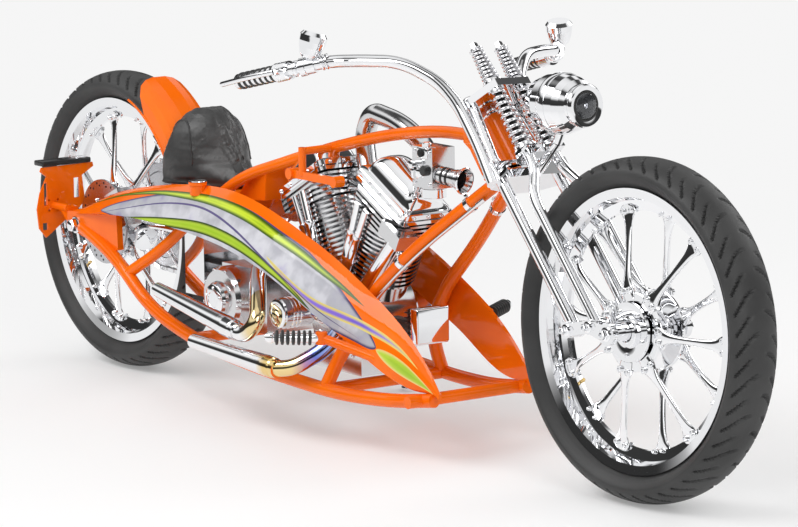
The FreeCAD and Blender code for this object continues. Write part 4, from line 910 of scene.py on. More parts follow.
class Shape:
    """Faces gathered in upright millimetres, each with its finish, that become one piece."""

    def __init__(self) -> None:
        """Starts empty."""
        self.points: list[Vector] = []
        self.faces: list[tuple[int, ...]] = []
        self.marks: list[int] = []
        self.finishes: list[Finish] = []

    def add(self, points: Iterable[Vector], faces: Iterable[Sequence[int]], finish: Finish) -> None:
        """Adds faces of one finish.

        Args:
            points: their corners.
            faces: indices into those corners.
            finish: what they are finished in.
        """
        base = len(self.points)
        if finish not in self.finishes:
            self.finishes.append(finish)
        mark = self.finishes.index(finish)
        self.points.extend(Vector(p) for p in points)
        for face in faces:
            self.faces.append(tuple(base + i for i in face))
            self.marks.append(mark)

    def lathe(self, profile: Profile, origin: Vector, axis: Vector, sides: int,
              finish: Finish = Finish.CHROME, ring: bool = False) -> None:
        """A turned form.

        Args:
            profile: (radius, along) pairs; where the form isn't a ring, its ends are closed on the axis.
            origin: where along is 0.
            axis: the way along grows.
            sides: how many facets go round.
            finish: its finish.
            ring: whether the profile closes on itself.
        """
        first, second = square_to(axis)
        along = axis.normalized()
        rows = list(profile)
        if not ring:
            rows = [(0, rows[0][1])] + rows + [(0, rows[-1][1])]
        points = []
        for radius, at in rows:
            for k in range(sides):
                turn = 2 * math.pi * k / sides
                way = first * math.cos(turn) + second * math.sin(turn)
                points.append(origin + along * at + way * radius)
        self.add(points, skin(len(rows), sides, ring), finish)

    def tube(self, points: Sequence[Vector], radius: float, finish: Finish, sides: int, per: int = 8) -> None:
        """A round bar along a smooth path, with closed ends.

        Args:
            points: what the path goes through.
            radius: its radius.
            finish: its finish.
            sides: how many facets go round.
            per: how many steps each span gets.
        """
        path = flow(points, per) if len(points) > 2 else list(points)
        normal = square_to(path[1] - path[0])[0]
        corners = []
        for i, spot in enumerate(path):
            ahead = (path[min(i + 1, len(path) - 1)] - path[max(i - 1, 0)]).normalized()
            normal = (normal - ahead * normal.dot(ahead)).normalized()
            across = ahead.cross(normal)
            corners += [spot + (normal * math.cos(2 * math.pi * k / sides)
                                + across * math.sin(2 * math.pi * k / sides)) * radius for k in range(sides)]
        self.add(corners, capped(len(path), sides), finish)

    def block(self, centre: Vector, size: Point, finish: Finish, soften: float = 2.0,
              axes: tuple[Vector, Vector, Vector] | None = None) -> None:
        """A block with rounded edges.

        Args:
            centre: its middle.
            size: its three sizes.
            finish: its finish.
            soften: the radius of its edges.
            axes: its own three directions, where it is turned.
        """
        form = bmesh.new()
        bmesh.ops.create_cube(form, size=1.0)
        for vert in form.verts:
            vert.co = Vector(c * s for c, s in zip(vert.co, size))
        bmesh.ops.bevel(form, geom=form.edges[:], offset=soften, segments=3, profile=0.5, affect="EDGES")
        form.verts.index_update()
        x, y, z = axes or (AHEAD, LEFT, UP)
        points = [centre + x * v.co.x + y * v.co.y + z * v.co.z for v in form.verts]
        faces = [[v.index for v in face.verts] for face in form.faces]
        form.free()
        self.add(points, faces, finish)

    def piece(self, name: str, body: Body, bench: "Bench", sharp_deg: float = SHARP_DEG,
              slot: str | None = None) -> Object:
        """Makes the gathered faces a piece that rides on a body.

        Args:
            name: the piece's name.
            body: what it rides on.
            bench: what the builders share.
            sharp_deg: the angle past which an edge stays sharp.
            slot: not used; it would be the record's slot, where it isn't the first finish's own.

        Returns:
            The piece.
        """
        mesh = bpy.data.meshes.new(name)
        mesh.from_pydata(self.points, [], self.faces)
        for finish in self.finishes:
            mesh.materials.append(bench.paint.get(finish))
        mesh.polygons.foreach_set("material_index", self.marks)
        mend(mesh, 1e-3, bench.stance.place(body))
        smooth(mesh, sharp_deg)
        return seat_piece(name, mesh, body)


def seat_piece(name: str, mesh: Mesh, body: Body) -> Object:
    """Links a finished mesh as a piece on a body.

    Args:
        name: the piece's name.
        mesh: its mesh, in the parked part's metres.
        body: what it rides on.

    Returns:
        The piece.
    """
    piece = link_object(name, mesh)
    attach(piece, body.value)
    LOG.info("%s rides on %s with %d faces", name, body.value, len(mesh.polygons))
    return piece


class Template(Enum):
    """The small forms that repeat."""

    SOCKET_SCREW = "socket_screw"
    DOME_NUT = "dome_nut"
    CHAIN_LINK = "chain_link"
    CHAIN_ROLLER = "chain_roller"
    PAINTED_HOLE_SHADE = "drilling"


@dataclass(frozen=True)
class Spot:
    """Where one repeat goes: its foot, the way it points, its size and the way its own X lies."""

    foot: Vector
    aim: Vector
    size: float
    along: Vector | None = None


class Bench:
    """What the builders share: the stance, the materials and the small forms that repeat.

    The forms go to their places with Geometry Nodes, as one piece for each body and form.
    """

    FINISHES = {Template.SOCKET_SCREW: Finish.CHROME, Template.DOME_NUT: Finish.CHROME,
                Template.CHAIN_LINK: Finish.SPRING, Template.CHAIN_ROLLER: Finish.SPRING,
                Template.PAINTED_HOLE_SHADE: Finish.DARK,}

    def __init__(self, stance: Stance, paint: Paintshop) -> None:
        """Builds the node tree and starts with no places."""
        self.stance = stance
        self.paint = paint
        self.spots: dict[tuple[Body, Template], list[Spot]] = {}
        self.tree = self.build_tree()

    def add(self, body: Body, form: Template, foot: Vector, aim: Vector, size: float,
            along: Vector | None = None) -> None:
        """Notes one place.

        Args:
            body: what it rides on.
            form: which small form goes there.
            foot: its foot in upright millimetres.
            aim: the way it points.
            size: its radius in millimetres.
            along: the way its own X lies, where that matters.
        """
        self.spots.setdefault((body, form), []).append(Spot(foot, aim, size, along))

    def screw(self, body: Body, foot: Vector, aim: Vector, size: float) -> None:
        """Notes one socket screw, by its foot, the way it points and its radius."""
        self.add(body, Template.SOCKET_SCREW, foot, aim, size)

    def circle(self, body: Body, form: Template, centre: Vector, aim: Vector, radius: float, count: int,
               size: float, start: float = 0.0) -> None:
        """Notes places round a circle.

        Args:
            body: what they ride on.
            form: which small form goes there.
            centre: the circle's middle.
            aim: the way they point, and the circle's axis.
            radius: the circle's radius.
            count: how many there are.
            size: each one's radius.
            start: the first one's angle in radians.
        """
        first, second = square_to(aim)
        for k in range(count):
            turn = start + 2 * math.pi * k / count
            offset = (first * math.cos(turn) + second * math.sin(turn)) * radius
            self.add(body, form, centre + offset, aim, size)

    def screws(self, body: Body, centre: Vector, aim: Vector, radius: float, count: int, size: float,
               start: float = 0.0) -> None:
        """Notes a circle of socket screws; the rest is as for circle."""
        self.circle(body, Template.SOCKET_SCREW, centre, aim, radius, count, size, start)

    @staticmethod
    def build_tree() -> Tree:
        """The tree that sets a template at points.

        Returns:
            The tree, with Geometry, Template and Finish going in.
        """
        nodes, into, out = start_group("set_at_places", "GeometryNodeTree",
                                       {"Geometry": "Geometry", "Template": "Object", "Finish": "Material"},
                                       {"Geometry": "Geometry"})
        turn = nodes.add("GeometryNodeInputNamedAttribute", data_type="FLOAT_VECTOR", Name="turn")
        size = nodes.add("GeometryNodeInputNamedAttribute", data_type="FLOAT", Name="size")
        rotation = nodes.add("FunctionNodeEulerToRotation", Euler=turn.outputs["Attribute"])
        source = nodes.add("GeometryNodeObjectInfo", Object=into.outputs["Template"])
        place = nodes.add("GeometryNodeInstanceOnPoints", Points=into.outputs["Geometry"],
                          Instance=source.outputs["Geometry"], Rotation=rotation.outputs[0],
                          Scale=size.outputs["Attribute"])
        real = nodes.add("GeometryNodeRealizeInstances", Geometry=place.outputs["Instances"])
        finish = nodes.add("GeometryNodeSetMaterial", Geometry=real.outputs[0],
                           Material=into.outputs["Finish"])
        nodes.set(out, Geometry=finish.outputs[0])
        return nodes.tree

    @staticmethod
    def socket_screw(shape: Shape, sides: int = 24) -> None:
        """A screw's round head with its six-sided socket."""
        rows = [(1, 0, False), (1, 0.72, False), (0.84, 0.92, False), (0.56, 0.92, True), (0.54, 0.42, True),
                (0, 0.36, False)]
        points = []
        for radius, z, hexed in rows:
            for k in range(sides):
                turn = 2 * math.pi * k / sides
                reach = radius
                if hexed:
                    reach *= math.cos(math.pi / 6) / math.cos(turn % (math.pi / 3) - math.pi / 6)
                points.append(Vector((reach * math.cos(turn), reach * math.sin(turn), z)))
        shape.add(points, skin(len(rows), sides) + [tuple(reversed(range(sides)))], Finish.CHROME)

    @staticmethod
    def chain_link(shape: Shape, sides: int = 16) -> None:
        """Both waisted plates of a link."""
        for side in (1, -1):
            points = []
            for level in (0.0, 0.18):
                for k in range(sides):
                    turn = 2 * math.pi * k / sides
                    end = 0.62 if math.cos(turn) > 0 else -0.62
                    waist = 1.0 if abs(math.cos(turn)) > 0.25 else 0.84
                    points.append(Vector((end + 0.46 * math.cos(turn), side * (0.42 + level),
                                          0.46 * waist * math.sin(turn))))
            shape.add(points, capped(2, sides), Finish.SPRING)

    @staticmethod
    def template(form: Template) -> Object:
        """One small form of radius 1, standing on Z = 0.

        Args:
            form: which one.

        Returns:
            Its object, used only while the pieces are made.
        """
        shape, foot = Shape(), Vector()
        if form is Template.SOCKET_SCREW:
            Bench.socket_screw(shape)
        elif form is Template.DOME_NUT:
            shape.lathe([(1.25, 0), (1.25, 0.16), (1, 0.2), (1, 0.8), (0.92, 0.9)], foot, UP, 6)
            shape.lathe([(0.86, 0.8), (0.84, 1.1), (0.66, 1.45), (0.36, 1.68)], foot, UP, 16)
        elif form is Template.CHAIN_LINK:
            Bench.chain_link(shape)
        elif form is Template.CHAIN_ROLLER:
            shape.lathe([(0.36, -0.41), (0.36, 0.41)], foot, LEFT, 12, Finish.SPRING)
            shape.lathe([(0.18, -0.70), (0.18, 0.70)], foot, LEFT, 8, Finish.SPRING)
        else:
            # A flat dark disc: painted shade standing in for a drilled hole
            shape.lathe([(1, 0), (0.94, 0.12)], foot, UP, 14, Finish.DARK)
        mesh = bpy.data.meshes.new(form.value)
        mesh.from_pydata(shape.points, [], shape.faces)
        mend(mesh, 1e-4)
        smooth(mesh)
        return link_object(form.value, mesh)

    def build(self) -> None:
        """Makes every noted place a plain mesh, one piece for each body and form."""
        sources = {form: self.template(form) for form in {form for _, form in self.spots}}
        for (body, form), spots in self.spots.items():
            name = body.value + "_" + form.value + "s"
            place = self.stance.place(body)
            mesh = bpy.data.meshes.new(name + "_places")
            mesh.from_pydata([place @ spot.foot for spot in spots], [], [])
            turns = []
            for spot in spots:
                aim = (place.to_3x3() @ spot.aim).normalized()
                if spot.along is None:
                    turn = aim.to_track_quat("Z", "Y")
                else:
                    along = (place.to_3x3() @ spot.along).normalized()
                    side = aim.cross(along).normalized()
                    turn = Matrix((side.cross(aim), side, aim)).transposed().to_quaternion()
                turns.extend(turn.to_euler("XYZ"))
            mesh.attributes.new("turn", "FLOAT_VECTOR", "POINT").data.foreach_set("vector", turns)
            sizes = [spot.size * MM for spot in spots]
            mesh.attributes.new("size", "FLOAT", "POINT").data.foreach_set("value", sizes)
            finish = self.FINISHES[form]
            made = run_tree(link_object(name + "_places", mesh), self.tree,
                            {"Template": sources[form], "Finish": self.paint.get(finish)})
            made.name = name
            smooth(made)
            seat_piece(name, made, body)
        for source in sources.values():
            bpy.data.objects.remove(source)


def run_tree(carrier: Object, tree: Tree, values: dict[str, object]) -> Mesh:
    """Runs a Geometry Nodes tree on an object, keeps the result as a plain mesh and removes the object.

    Args:
        carrier: the object that it runs on.
        tree: the tree.
        values: its inputs by name.

    Returns:
        The new mesh.
    """
    modifier = carrier.modifiers.new(tree.name, "NODES")
    modifier.node_group = tree
    for item in tree.interface.items_tree:
        if item.item_type == "SOCKET" and item.in_out == "INPUT" and item.name in values:
            modifier[item.identifier] = values[item.name]
    graph = bpy.context.evaluated_depsgraph_get()
    mesh = bpy.data.meshes.new_from_object(carrier.evaluated_get(graph), depsgraph=graph)
    bpy.data.objects.remove(carrier)
    return mesh


@dataclass(frozen=True)
class Fitting:
    """A group of pieces, made on the bench that all of them share."""

    bench: Bench


@dataclass(frozen=True)
class Tyre(Fitting):
    """A road tyre with swept grooves in its shoulders."""

    body: Body
    node: str
    side: Profile = ((301, 30), (306, 34.6), (313, 43), (321, 53), (331, 60.2), (340, 60.6), (348.5, 56),
                     (357, 47), (364.2, 33.5), (368.8, 16), (370, 0),)
    inside: Profile = ((301, 22), (326, 48), (352, 40), (358, 0), (352, -40), (326, -48), (301, -22),)
    radius: float = 370.0
    # The grooves: how many pairs, their half width and depth, where each of a pair starts across the
    # tread, where both end, and how far they sweep round it
    pairs: int = 26
    groove_half: float = 3.9
    groove_deep: float = 5.0
    groove_starts: tuple[float, float] = (7.0, 25.0)
    groove_end: float = 58.5
    sweep: float = 52.0
    sweep_from: float = 6.0
    tread_from: float = 338.0
    # The raised lines on the sidewall: the radii that each lies between, and their height
    lines: Profile = ((315, 318), (333, 336))
    line_high: float = 0.8
    steps: int = 1404
    per_span: int = 3

    def section(self) -> list[Vector]:
        """The outside of the section from one bead to the other, as (radius, left) in X and Y."""
        half = flow([Vector((r, y, 0)) for r, y in self.side], self.per_span)
        return [Vector((p.x, -p.y, 0)) for p in half[:-1]] + list(reversed(half))

    def carve(self, around: np.ndarray, left: float) -> np.ndarray:
        """How deep the grooves are at one place across the tread.

        Args:
            around: the angles round the wheel.
            left: the place across the tread.

        Returns:
            The depth at each angle in millimetres.
        """
        out = abs(left)
        pitch = 2 * math.pi * self.radius / self.pairs
        lag = 0.0 if left > 0 else 0.5 * pitch
        sweep = self.sweep * max(0.0, (out - self.sweep_from) / self.sweep) ** 2
        depth = np.zeros_like(around)
        for shift, first in zip((0, 0.5 * pitch), self.groove_starts):
            ends = clamped((out - first) / 5.0) * clamped((self.groove_end - out) / 2.5)
            if ends <= 0.0:
                continue
            place = (around * self.radius + sweep + shift + lag) % pitch
            away = np.minimum(place, pitch - place)
            edge = np.clip((self.groove_half - away) / 1.3 + 0.5, 0.0, 1.0)
            depth = np.maximum(depth, edge * edge * (3 - 2 * edge) * ends * self.groove_deep)
        return depth

    def build(self, centre: Vector) -> None:
        """Makes the tyre and puts it in place of its node.

        Args:
            centre: the axle's middle, upright millimetres.
        """
        section = self.section()
        steps = self.steps
        around = np.linspace(0.0, 2 * math.pi, steps, endpoint=False)
        rows = []
        for i, spot in enumerate(section):
            before, after = section[max(i - 1, 0)], section[min(i + 1, len(section) - 1)]
            run = (after - before).normalized()
            depth = self.carve(around, spot.y) if spot.x > self.tread_from else np.zeros(steps)
            ridge = self.line_high if any(low < spot.x < high for low, high in self.lines) else 0.0
            rows.append((spot.x - (depth - ridge) * run.y, spot.y + (depth - ridge) * run.x))
        rows += [(np.full(steps, r), np.full(steps, y)) for r, y in self.inside]
        points = np.empty((len(rows), steps, 3))
        for i, (radius, left) in enumerate(rows):
            points[i, :, 0] = centre.x + radius * np.cos(around)
            points[i, :, 1] = centre.y + left
            points[i, :, 2] = centre.z + radius * np.sin(around)
        index = np.arange(len(rows) * steps).reshape(len(rows), steps)
        after = np.roll(index, -1, axis=1)
        below, below_after = np.roll(index, -1, axis=0), np.roll(after, -1, axis=0)
        quads = np.stack([index, after, below_after, below], axis=-1).reshape(-1, 4)
        place = np.array(self.bench.stance.place(self.body))
        world = points.reshape(-1, 3) @ place[:3, :3].T + place[:3, 3]
        mesh = bpy.data.meshes.new(self.node + "_tread")
        mesh.from_pydata(world.tolist(), [], quads.tolist())
        mesh.materials.append(self.bench.paint.get(Finish.TYRE))
        mend(mesh)
        smooth(mesh, 50.0)
        piece = seat_piece(self.node + "_tread", mesh, self.body)
        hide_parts(self.node)


@dataclass(frozen=True)
class WheelCentre(Fitting):
    """One wheel's hub with its bone-shaped spokes, their bolts and the valve."""

    body: Body
    name: str
    spokes: int = 14
    pad_radius: float = 257.0
    pad_half_deg: float = 2.9
    pad_face: float = 11.2
    pad_back: float = 5.2
    foot_radius: float = 88.0
    foot_half: float = 11.5
    foot_face: float = 41.0
    # The left half of the hub's section: radius and place from its middle
    section: Profile = (
        (12.62, 48), (22, 48), (24, 47), (40, 45), (44, 38), (84, 37.5), (86, 36), (86, 31), (84, 29.5),
        (52, 28), (46, 24), (42, 10),
    )
    valve_deg: float = 214.0
    valve: Profile = (
        (5.5, 278), (5.5, 270), (3.6, 268), (3.6, 252), (4.4, 250), (4.4, 240), (3.4, 238),
    )
    # Along a spoke: radius from the axle, half width, half thickness, and how far its middle stands out
    bone: tuple[tuple[float, float, float, float], ...] = (
        (62, 17, 4.4, 37), (76, 19.5, 4.6, 37), (90, 19.5, 4.8, 36.4), (101, 15, 5.4, 34.6),
        (118, 10, 6, 31.2), (140, 8, 6, 26.4), (165, 7.4, 5.6, 21.6), (195, 8.2, 5.2, 16.4),
        (220, 10.2, 4.6, 12.2), (238, 14.6, 3.8, 9.9), (247, 20, 3.2, 8.9), (256, 22.6, 3, 8.6),
        (265, 20.4, 2.6, 9.6), (270, 12, 1.8, 10.4),
    )

    def spoke(self, shape: Shape, centre: Vector, turn: float, side: float) -> None:
        """One forged spoke: a rounded bar that widens to its two-bolt foot and its pad.

        Args:
            shape: where its faces go.
            centre: the axle's middle.
            turn: its angle round the wheel.
            side: 1 for the left flange, -1 for the right.
        """
        out = outward(turn)
        across = round_axle(turn)
        through = sideways(side)
        rows = flow([Vector(row[:3]) for row in self.bone], 3)
        middles = flow([Vector((row[0], row[3], 0)) for row in self.bone], 3)
        corners, sides, squareness = [], 20, 0.72
        for row, middle in zip(rows, middles):
            for k in range(sides):
                angle = 2 * math.pi * k / sides
                c, t = math.cos(angle), math.sin(angle)
                wide = row.y * math.copysign(abs(c) ** squareness, c)
                deep = row.z * math.copysign(abs(t) ** squareness, t)
                corners.append(centre + out * row.x + across * wide + through * (middle.y + deep))
        shape.add(corners, capped(len(rows), sides), Finish.CHROME)

    def build(self, centre: Vector) -> None:
        """Makes the hub in place of its node, and adds its bolts and the valve.

        Args:
            centre: the axle's middle, upright millimetres.
        """
        shape = Shape()
        mirrored = [(r, -y) for r, y in reversed(self.section)]
        shape.lathe([*self.section, *mirrored], centre, LEFT, 84, ring=True)
        for k in range(self.spokes):
            turn = 2 * math.pi * k / self.spokes
            side = 1.0 if k % 2 else -1.0
            aim = sideways(side)
            self.spoke(shape, centre, turn, side)
            out = outward(turn) * self.foot_radius
            for way in (1, -1):
                angle = turn + way * math.radians(self.pad_half_deg)
                spot = centre + outward(angle) * self.pad_radius
                self.bench.screw(self.body, spot + aim * self.pad_face, aim, 6.6)
                self.bench.add(self.body, Template.DOME_NUT, spot - aim * self.pad_back, -aim, 4.8)
                across = round_axle(turn) * way * self.foot_half
                self.bench.screw(self.body, centre + out + across + aim * self.foot_face, aim, 7.0)
        piece = shape.piece(self.name + "_spoked_hub", self.body, self.bench)
        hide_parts(self.name + "_hub")
        stem = Shape()
        stem.lathe(self.valve, centre, outward(math.radians(self.valve_deg)), 16, Finish.BRASS)
        stem.piece(self.name + "_valve", self.body, self.bench)


@dataclass(frozen=True)
class FrontHubCaps(Fitting):
    """The chrome discs on both ends of the front hub."""

    inner: float = 18.2
    outer: float = 65.0
    base: float = 44.0
    deep: float = 7.0
    screws: int = 5
    screw_circle: float = 49.0

    def build(self, centre: Vector) -> None:
        """Adds a disc and its screws at each end."""
        shape = Shape()
        low, top = self.base, self.base + self.deep
        disc = [(self.inner, low), (self.outer - 4, low), (self.outer, low), (self.outer, top - 1),
                (self.outer - 1, top), (self.inner + 2, top), (self.inner, top - 1)]
        cap = [(self.inner, top - 1), (33, top - 1), (33, top + 5), (31, top + 7), (22, top + 7),
               (self.inner, top + 3)]
        for side in (1, -1):
            aim = sideways(side)
            shape.lathe(disc, centre, aim, 72, ring=True)
            shape.lathe(cap, centre, aim, 56, ring=True)
            self.bench.screws(Body.FRONT_WHEEL, centre + aim * (top - 0.6), aim, self.screw_circle,
                              self.screws, 5.0, 0.3)
        shape.piece("front_hub_caps", Body.FRONT_WHEEL, self.bench)


@dataclass(frozen=True)
class CoilSprings(Fitting):
    """The four coil springs on their guide rods, with their cups."""

    ahead: float = 80.0
    left: float = 35.0
    # Each pair: its top and foot down the steering axis, its radii there, its wire's radius and its turns
    columns: tuple[tuple[float, float, float, float, float, float], ...] = (
        (-57, 103, 18, 25, 4.4, 9.5), (-170, -75, 14.6, 20.8, 3.6, 8.5),
    )

    @staticmethod
    def tree() -> Tree:
        """The tree that winds one coil up the Z axis.

        Returns:
            The tree, with its radii, Height, Turns, Wire and Finish going in.
        """
        sizes = ("Start Radius", "End Radius", "Height", "Turns", "Wire")
        nodes, into, out = start_group("coil_spring", "GeometryNodeTree", {"Geometry": "Geometry",
                                                                           **dict.fromkeys(sizes, "Float"),
                                                                           "Finish": "Material"},
                                       {"Geometry": "Geometry"})
        given = into.outputs
        coil = nodes.add("GeometryNodeCurveSpiral", Resolution=28, Rotations=given["Turns"],
                         Height=given["Height"], Start_Radius=given["Start Radius"],
                         End_Radius=given["End Radius"])
        wire = nodes.add("GeometryNodeCurvePrimitiveCircle", Resolution=10, Radius=given["Wire"])
        made = nodes.add("GeometryNodeCurveToMesh", Curve=coil.outputs[0], Profile_Curve=wire.outputs[0],
                         Fill_Caps=True)
        real = nodes.add("GeometryNodeRealizeInstances", Geometry=made.outputs[0])
        finish = nodes.add("GeometryNodeSetMaterial", Geometry=real.outputs[0], Material=given["Finish"])
        nodes.set(out, Geometry=finish.outputs[0])
        return nodes.tree

    def build(self) -> None:
        """Winds the springs and puts them in place of the CAD columns."""
        tree = self.tree()
        gathered = bmesh.new()
        cups = Shape()
        down = self.bench.stance.down
        turn = Matrix((*square_to(down), down)).transposed().to_4x4()
        for top, low, r_top, r_low, wire, turns in self.columns:
            span = low - top
            inside = r_top - 2 * wire - 0.6
            for side in (1, -1):
                mesh = run_tree(link_object("coil", bpy.data.meshes.new("coil")), tree,
                                {"Start Radius": r_top - wire, "End Radius": r_low - wire,
                                 "Height": span - 2 * wire, "Turns": turns, "Wire": wire,
                                 "Finish": self.bench.paint.get(Finish.SPRING)})
                foot = self.bench.stance.fork(top + wire, self.ahead, side * self.left)
                mesh.transform(Matrix.Translation(foot) @ turn)
                gathered.from_mesh(mesh)
                start = self.bench.stance.fork(top, self.ahead, side * self.left)
                for rows, finish, sides in (
                        (((inside, 0), (inside, span)), Finish.BLACK, 16),
                        (((r_low + 2, span - 5), (r_low + 2, span - 0.4)), Finish.CHROME, 32),
                        (((r_top + 1.5, 0.4), (r_top + 1.5, 3.6)), Finish.CHROME, 32)):
                    cups.lathe(rows, start, down, sides, finish)
        nut = [(12, 0), (12, -3), (9.5, -4), (9.5, -12), (8, -16), (4, -18.5)]
        for side in (1, -1):
            start = self.bench.stance.fork(self.columns[1][0], self.ahead, side * self.left)
            cups.lathe(nut, start, down, 6)
        bmesh.ops.recalc_face_normals(gathered, faces=gathered.faces)
        bmesh.ops.transform(gathered, matrix=self.bench.stance.place(Body.STEERING), verts=gathered.verts)
        coils = bpy.data.meshes.new("fork_coils")
        gathered.to_mesh(coils)
        gathered.free()
        coils.materials.append(self.bench.paint.get(Finish.SPRING))
        smooth(coils, 40.0)
        piece = seat_piece("fork_coils", coils, Body.STEERING)
        guides = cups.piece("fork_spring_guides", Body.STEERING, self.bench, slot="chrome")
        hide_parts("fork_springs")
        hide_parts("fork_springs")


@dataclass(frozen=True)
class ForkFittings(Fitting):
    """Nuts, pinch bolts and caps of the springer fork."""

    leg_top_left: float = 62.0
    leg_left: float = 82.0
    rocker_face: float = 111.0

    def build(self) -> None:
        """Adds the caps and notes the bolts."""
        shape = Shape()
        stance = self.bench.stance
        up = -stance.down
        shape.lathe([(19, 9), (19, 12), (16, 13), (16, 22), (13, 26), (7, 29)], stance.fork(-66, 0, 0), up,
                    6)
        for side in (1, -1):
            shape.lathe([(18, 9), (18, 13), (15, 17), (8, 20)],
                        stance.fork(-66, 16, side * self.leg_top_left), up, 32)
            shape.lathe([(17.5, -0.2), (19, 1), (19, 9), (17.5, 10.2)],
                        stance.fork(98, 16, side * self.leg_left), up, 32)
            for at in (108.0, 132.0):
                self.bench.screw(Body.STEERING, stance.fork(at, -4, side * (self.leg_left + 19)),
                                 sideways(side), 5.0)
            self.bench.screw(Body.STEERING, stance.fork(-66, 4, side * (self.leg_top_left + 17)),
                             sideways(side), 4.6)
            aim = sideways(side)
            for spot, size in ((stance.fork(526, 16, 0), 9), (stance.fork(562, 80, 0), 8.5),
                               (stance.front_axle, 11.5)):
                foot = spot + aim * (self.rocker_face - 0.3)
                shape.lathe([(size + 4, 0), (size + 4, 2), (size + 2, 3)], foot, aim, 36)
                shape.lathe([(size, 2), (size, 14), (size - 1.5, 16), (size * 0.5, 16), (size * 0.45, 10)],
                            foot, aim, 6)
        shape.piece("fork_nuts", Body.STEERING, self.bench)


@dataclass(frozen=True)
class Headlamp(Fitting):
    """The lamp's ring, reflector and glass."""

    rear: Point = (1670.0, 0.0, 824.0)
    front: Point = (1836.0, 0.0, 828.0)
    ring_out: float = 47.5
    glass_radius: float = 28.0

    def build(self) -> None:
        """Adds the ring and the reflector, and puts a domed glass in place of its node."""
        rear, front = Vector(self.rear), Vector(self.front)
        aim = (front - rear).normalized()
        shape = Shape()
        out = self.ring_out
        shape.lathe([(34, -0.6), (46.2, -0.6), (out, -3), (out + 1.2, 1), (out + 0.2, 6), (out - 3, 9.4),
                     (out - 6, 9), (34, 6)], front, aim, 72, ring=True)
        shape.lathe([(28, 0.2), (34.2, 0.2), (34.2, 6.4), (31, 7.4), (28, 6.6)], front, aim, 72,
                    Finish.BLACK, ring=True)
        # The reflector's outer band is black, painted shade for the lamp's dark edge behind the glass
        shape.lathe([(28.2, 5.4), (22, 3.2)], front, aim, 48, Finish.BLACK)
        shape.lathe([(22, 3.2), (13.6, 1.4), (6.8, 0.9)], front, aim, 48, Finish.POLISHED)
        shape.lathe([(6, 1), (6, 5), (4, 6.6), (1.5, 7.2)], front, aim, 20, Finish.POLISHED)
        shape.lathe([(66.4, 82), (67.4, 84), (67.4, 104), (66.4, 106)], rear, aim, 72)
        shape.piece("headlamp_face", Body.STEERING, self.bench)
        lens = Shape()
        r = self.glass_radius
        lens.lathe([(r, 5.6), (r, 7.2), (r * 0.82, 9.6), (r * 0.5, 11.6), (r * 0.2, 12.4), (0.01, 12.5),
                    (0.01, 10.5), (r * 0.5, 9.6), (r * 0.82, 7.6)], front, aim, 64, Finish.GLASS, ring=True)
        glass = lens.piece("headlamp_glass", Body.STEERING, self.bench)
        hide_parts("headlamp_lens")


@dataclass(frozen=True)
class Bars(Fitting):
    """The ringed grips, the switch housings and the collars on the bars."""

    points: tuple[Point, ...] = (
        (-75, 14, 94), (-139, 10, 114), (-208, -2, 176), (-239, -34, 258), (-254, -52, 326),
        (-283, -117, 372), (-368, -273, 392),
    )
    grip_from: float = 46.0
    grip_radius: float = 19.0
    rings: int = 7

    def build(self) -> None:
        """Adds both sides' pieces, with the grips in place of their node."""
        grips, housings = Shape(), Shape()
        for side in (1, -1):
            spots = [self.bench.stance.fork(down, ahead, side * left) for down, ahead, left in self.points]
            run = (spots[-1] - spots[-2]).normalized()
            start = spots[-2] + run * self.grip_from
            length = (spots[-1] - start).length
            core = self.grip_radius - 1.4
            grips.lathe([(core, 0), (core, length - 6), (core - 2, length - 2), (core - 8, length)], start,
                        run, 36)
            pitch = (length - 10.0) / self.rings
            for k in range(self.rings):
                low = 4.0 + pitch * k
                r = self.grip_radius
                grips.lathe([(core - 1, low), (r - 1.4, low), (r, low + 1.6), (r, low + pitch * 0.46 - 1.6),
                             (r - 1.4, low + pitch * 0.46), (core - 1, low + pitch * 0.46)], start, run, 36,
                            Finish.RUBBER, ring=True)
            # Switch housing and collars on the bend before the grip
            housings.lathe([(19, -13), (21.5, -11), (21.5, -1), (19.5, 0.5)], start, run, 36)
            inboard = (spots[-3] - spots[-2]).normalized()
            for at, wide, long in ((6, 18, 9), (20, 20.5, 16), (72, 17.5, 6), (82, 17.5, 6)):
                housings.lathe([(wide - 2, at), (wide, at + 1.5), (wide, at + long - 1.5),
                                (wide - 2, at + long)], spots[-2], inboard, 32)
            back = run.cross(UP).normalized()
            self.bench.screw(Body.STEERING, start - run * 7.0 + Vector((0, 0, 21)), UP, 3.4)
            self.bench.screw(Body.STEERING, start - run * 7.0 - back * 21.0, -back, 3.4)
        piece = grips.piece("ringed_grips", Body.STEERING, self.bench, slot="rubber")
        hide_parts("grips")
        housings.piece("bar_housings", Body.STEERING, self.bench)


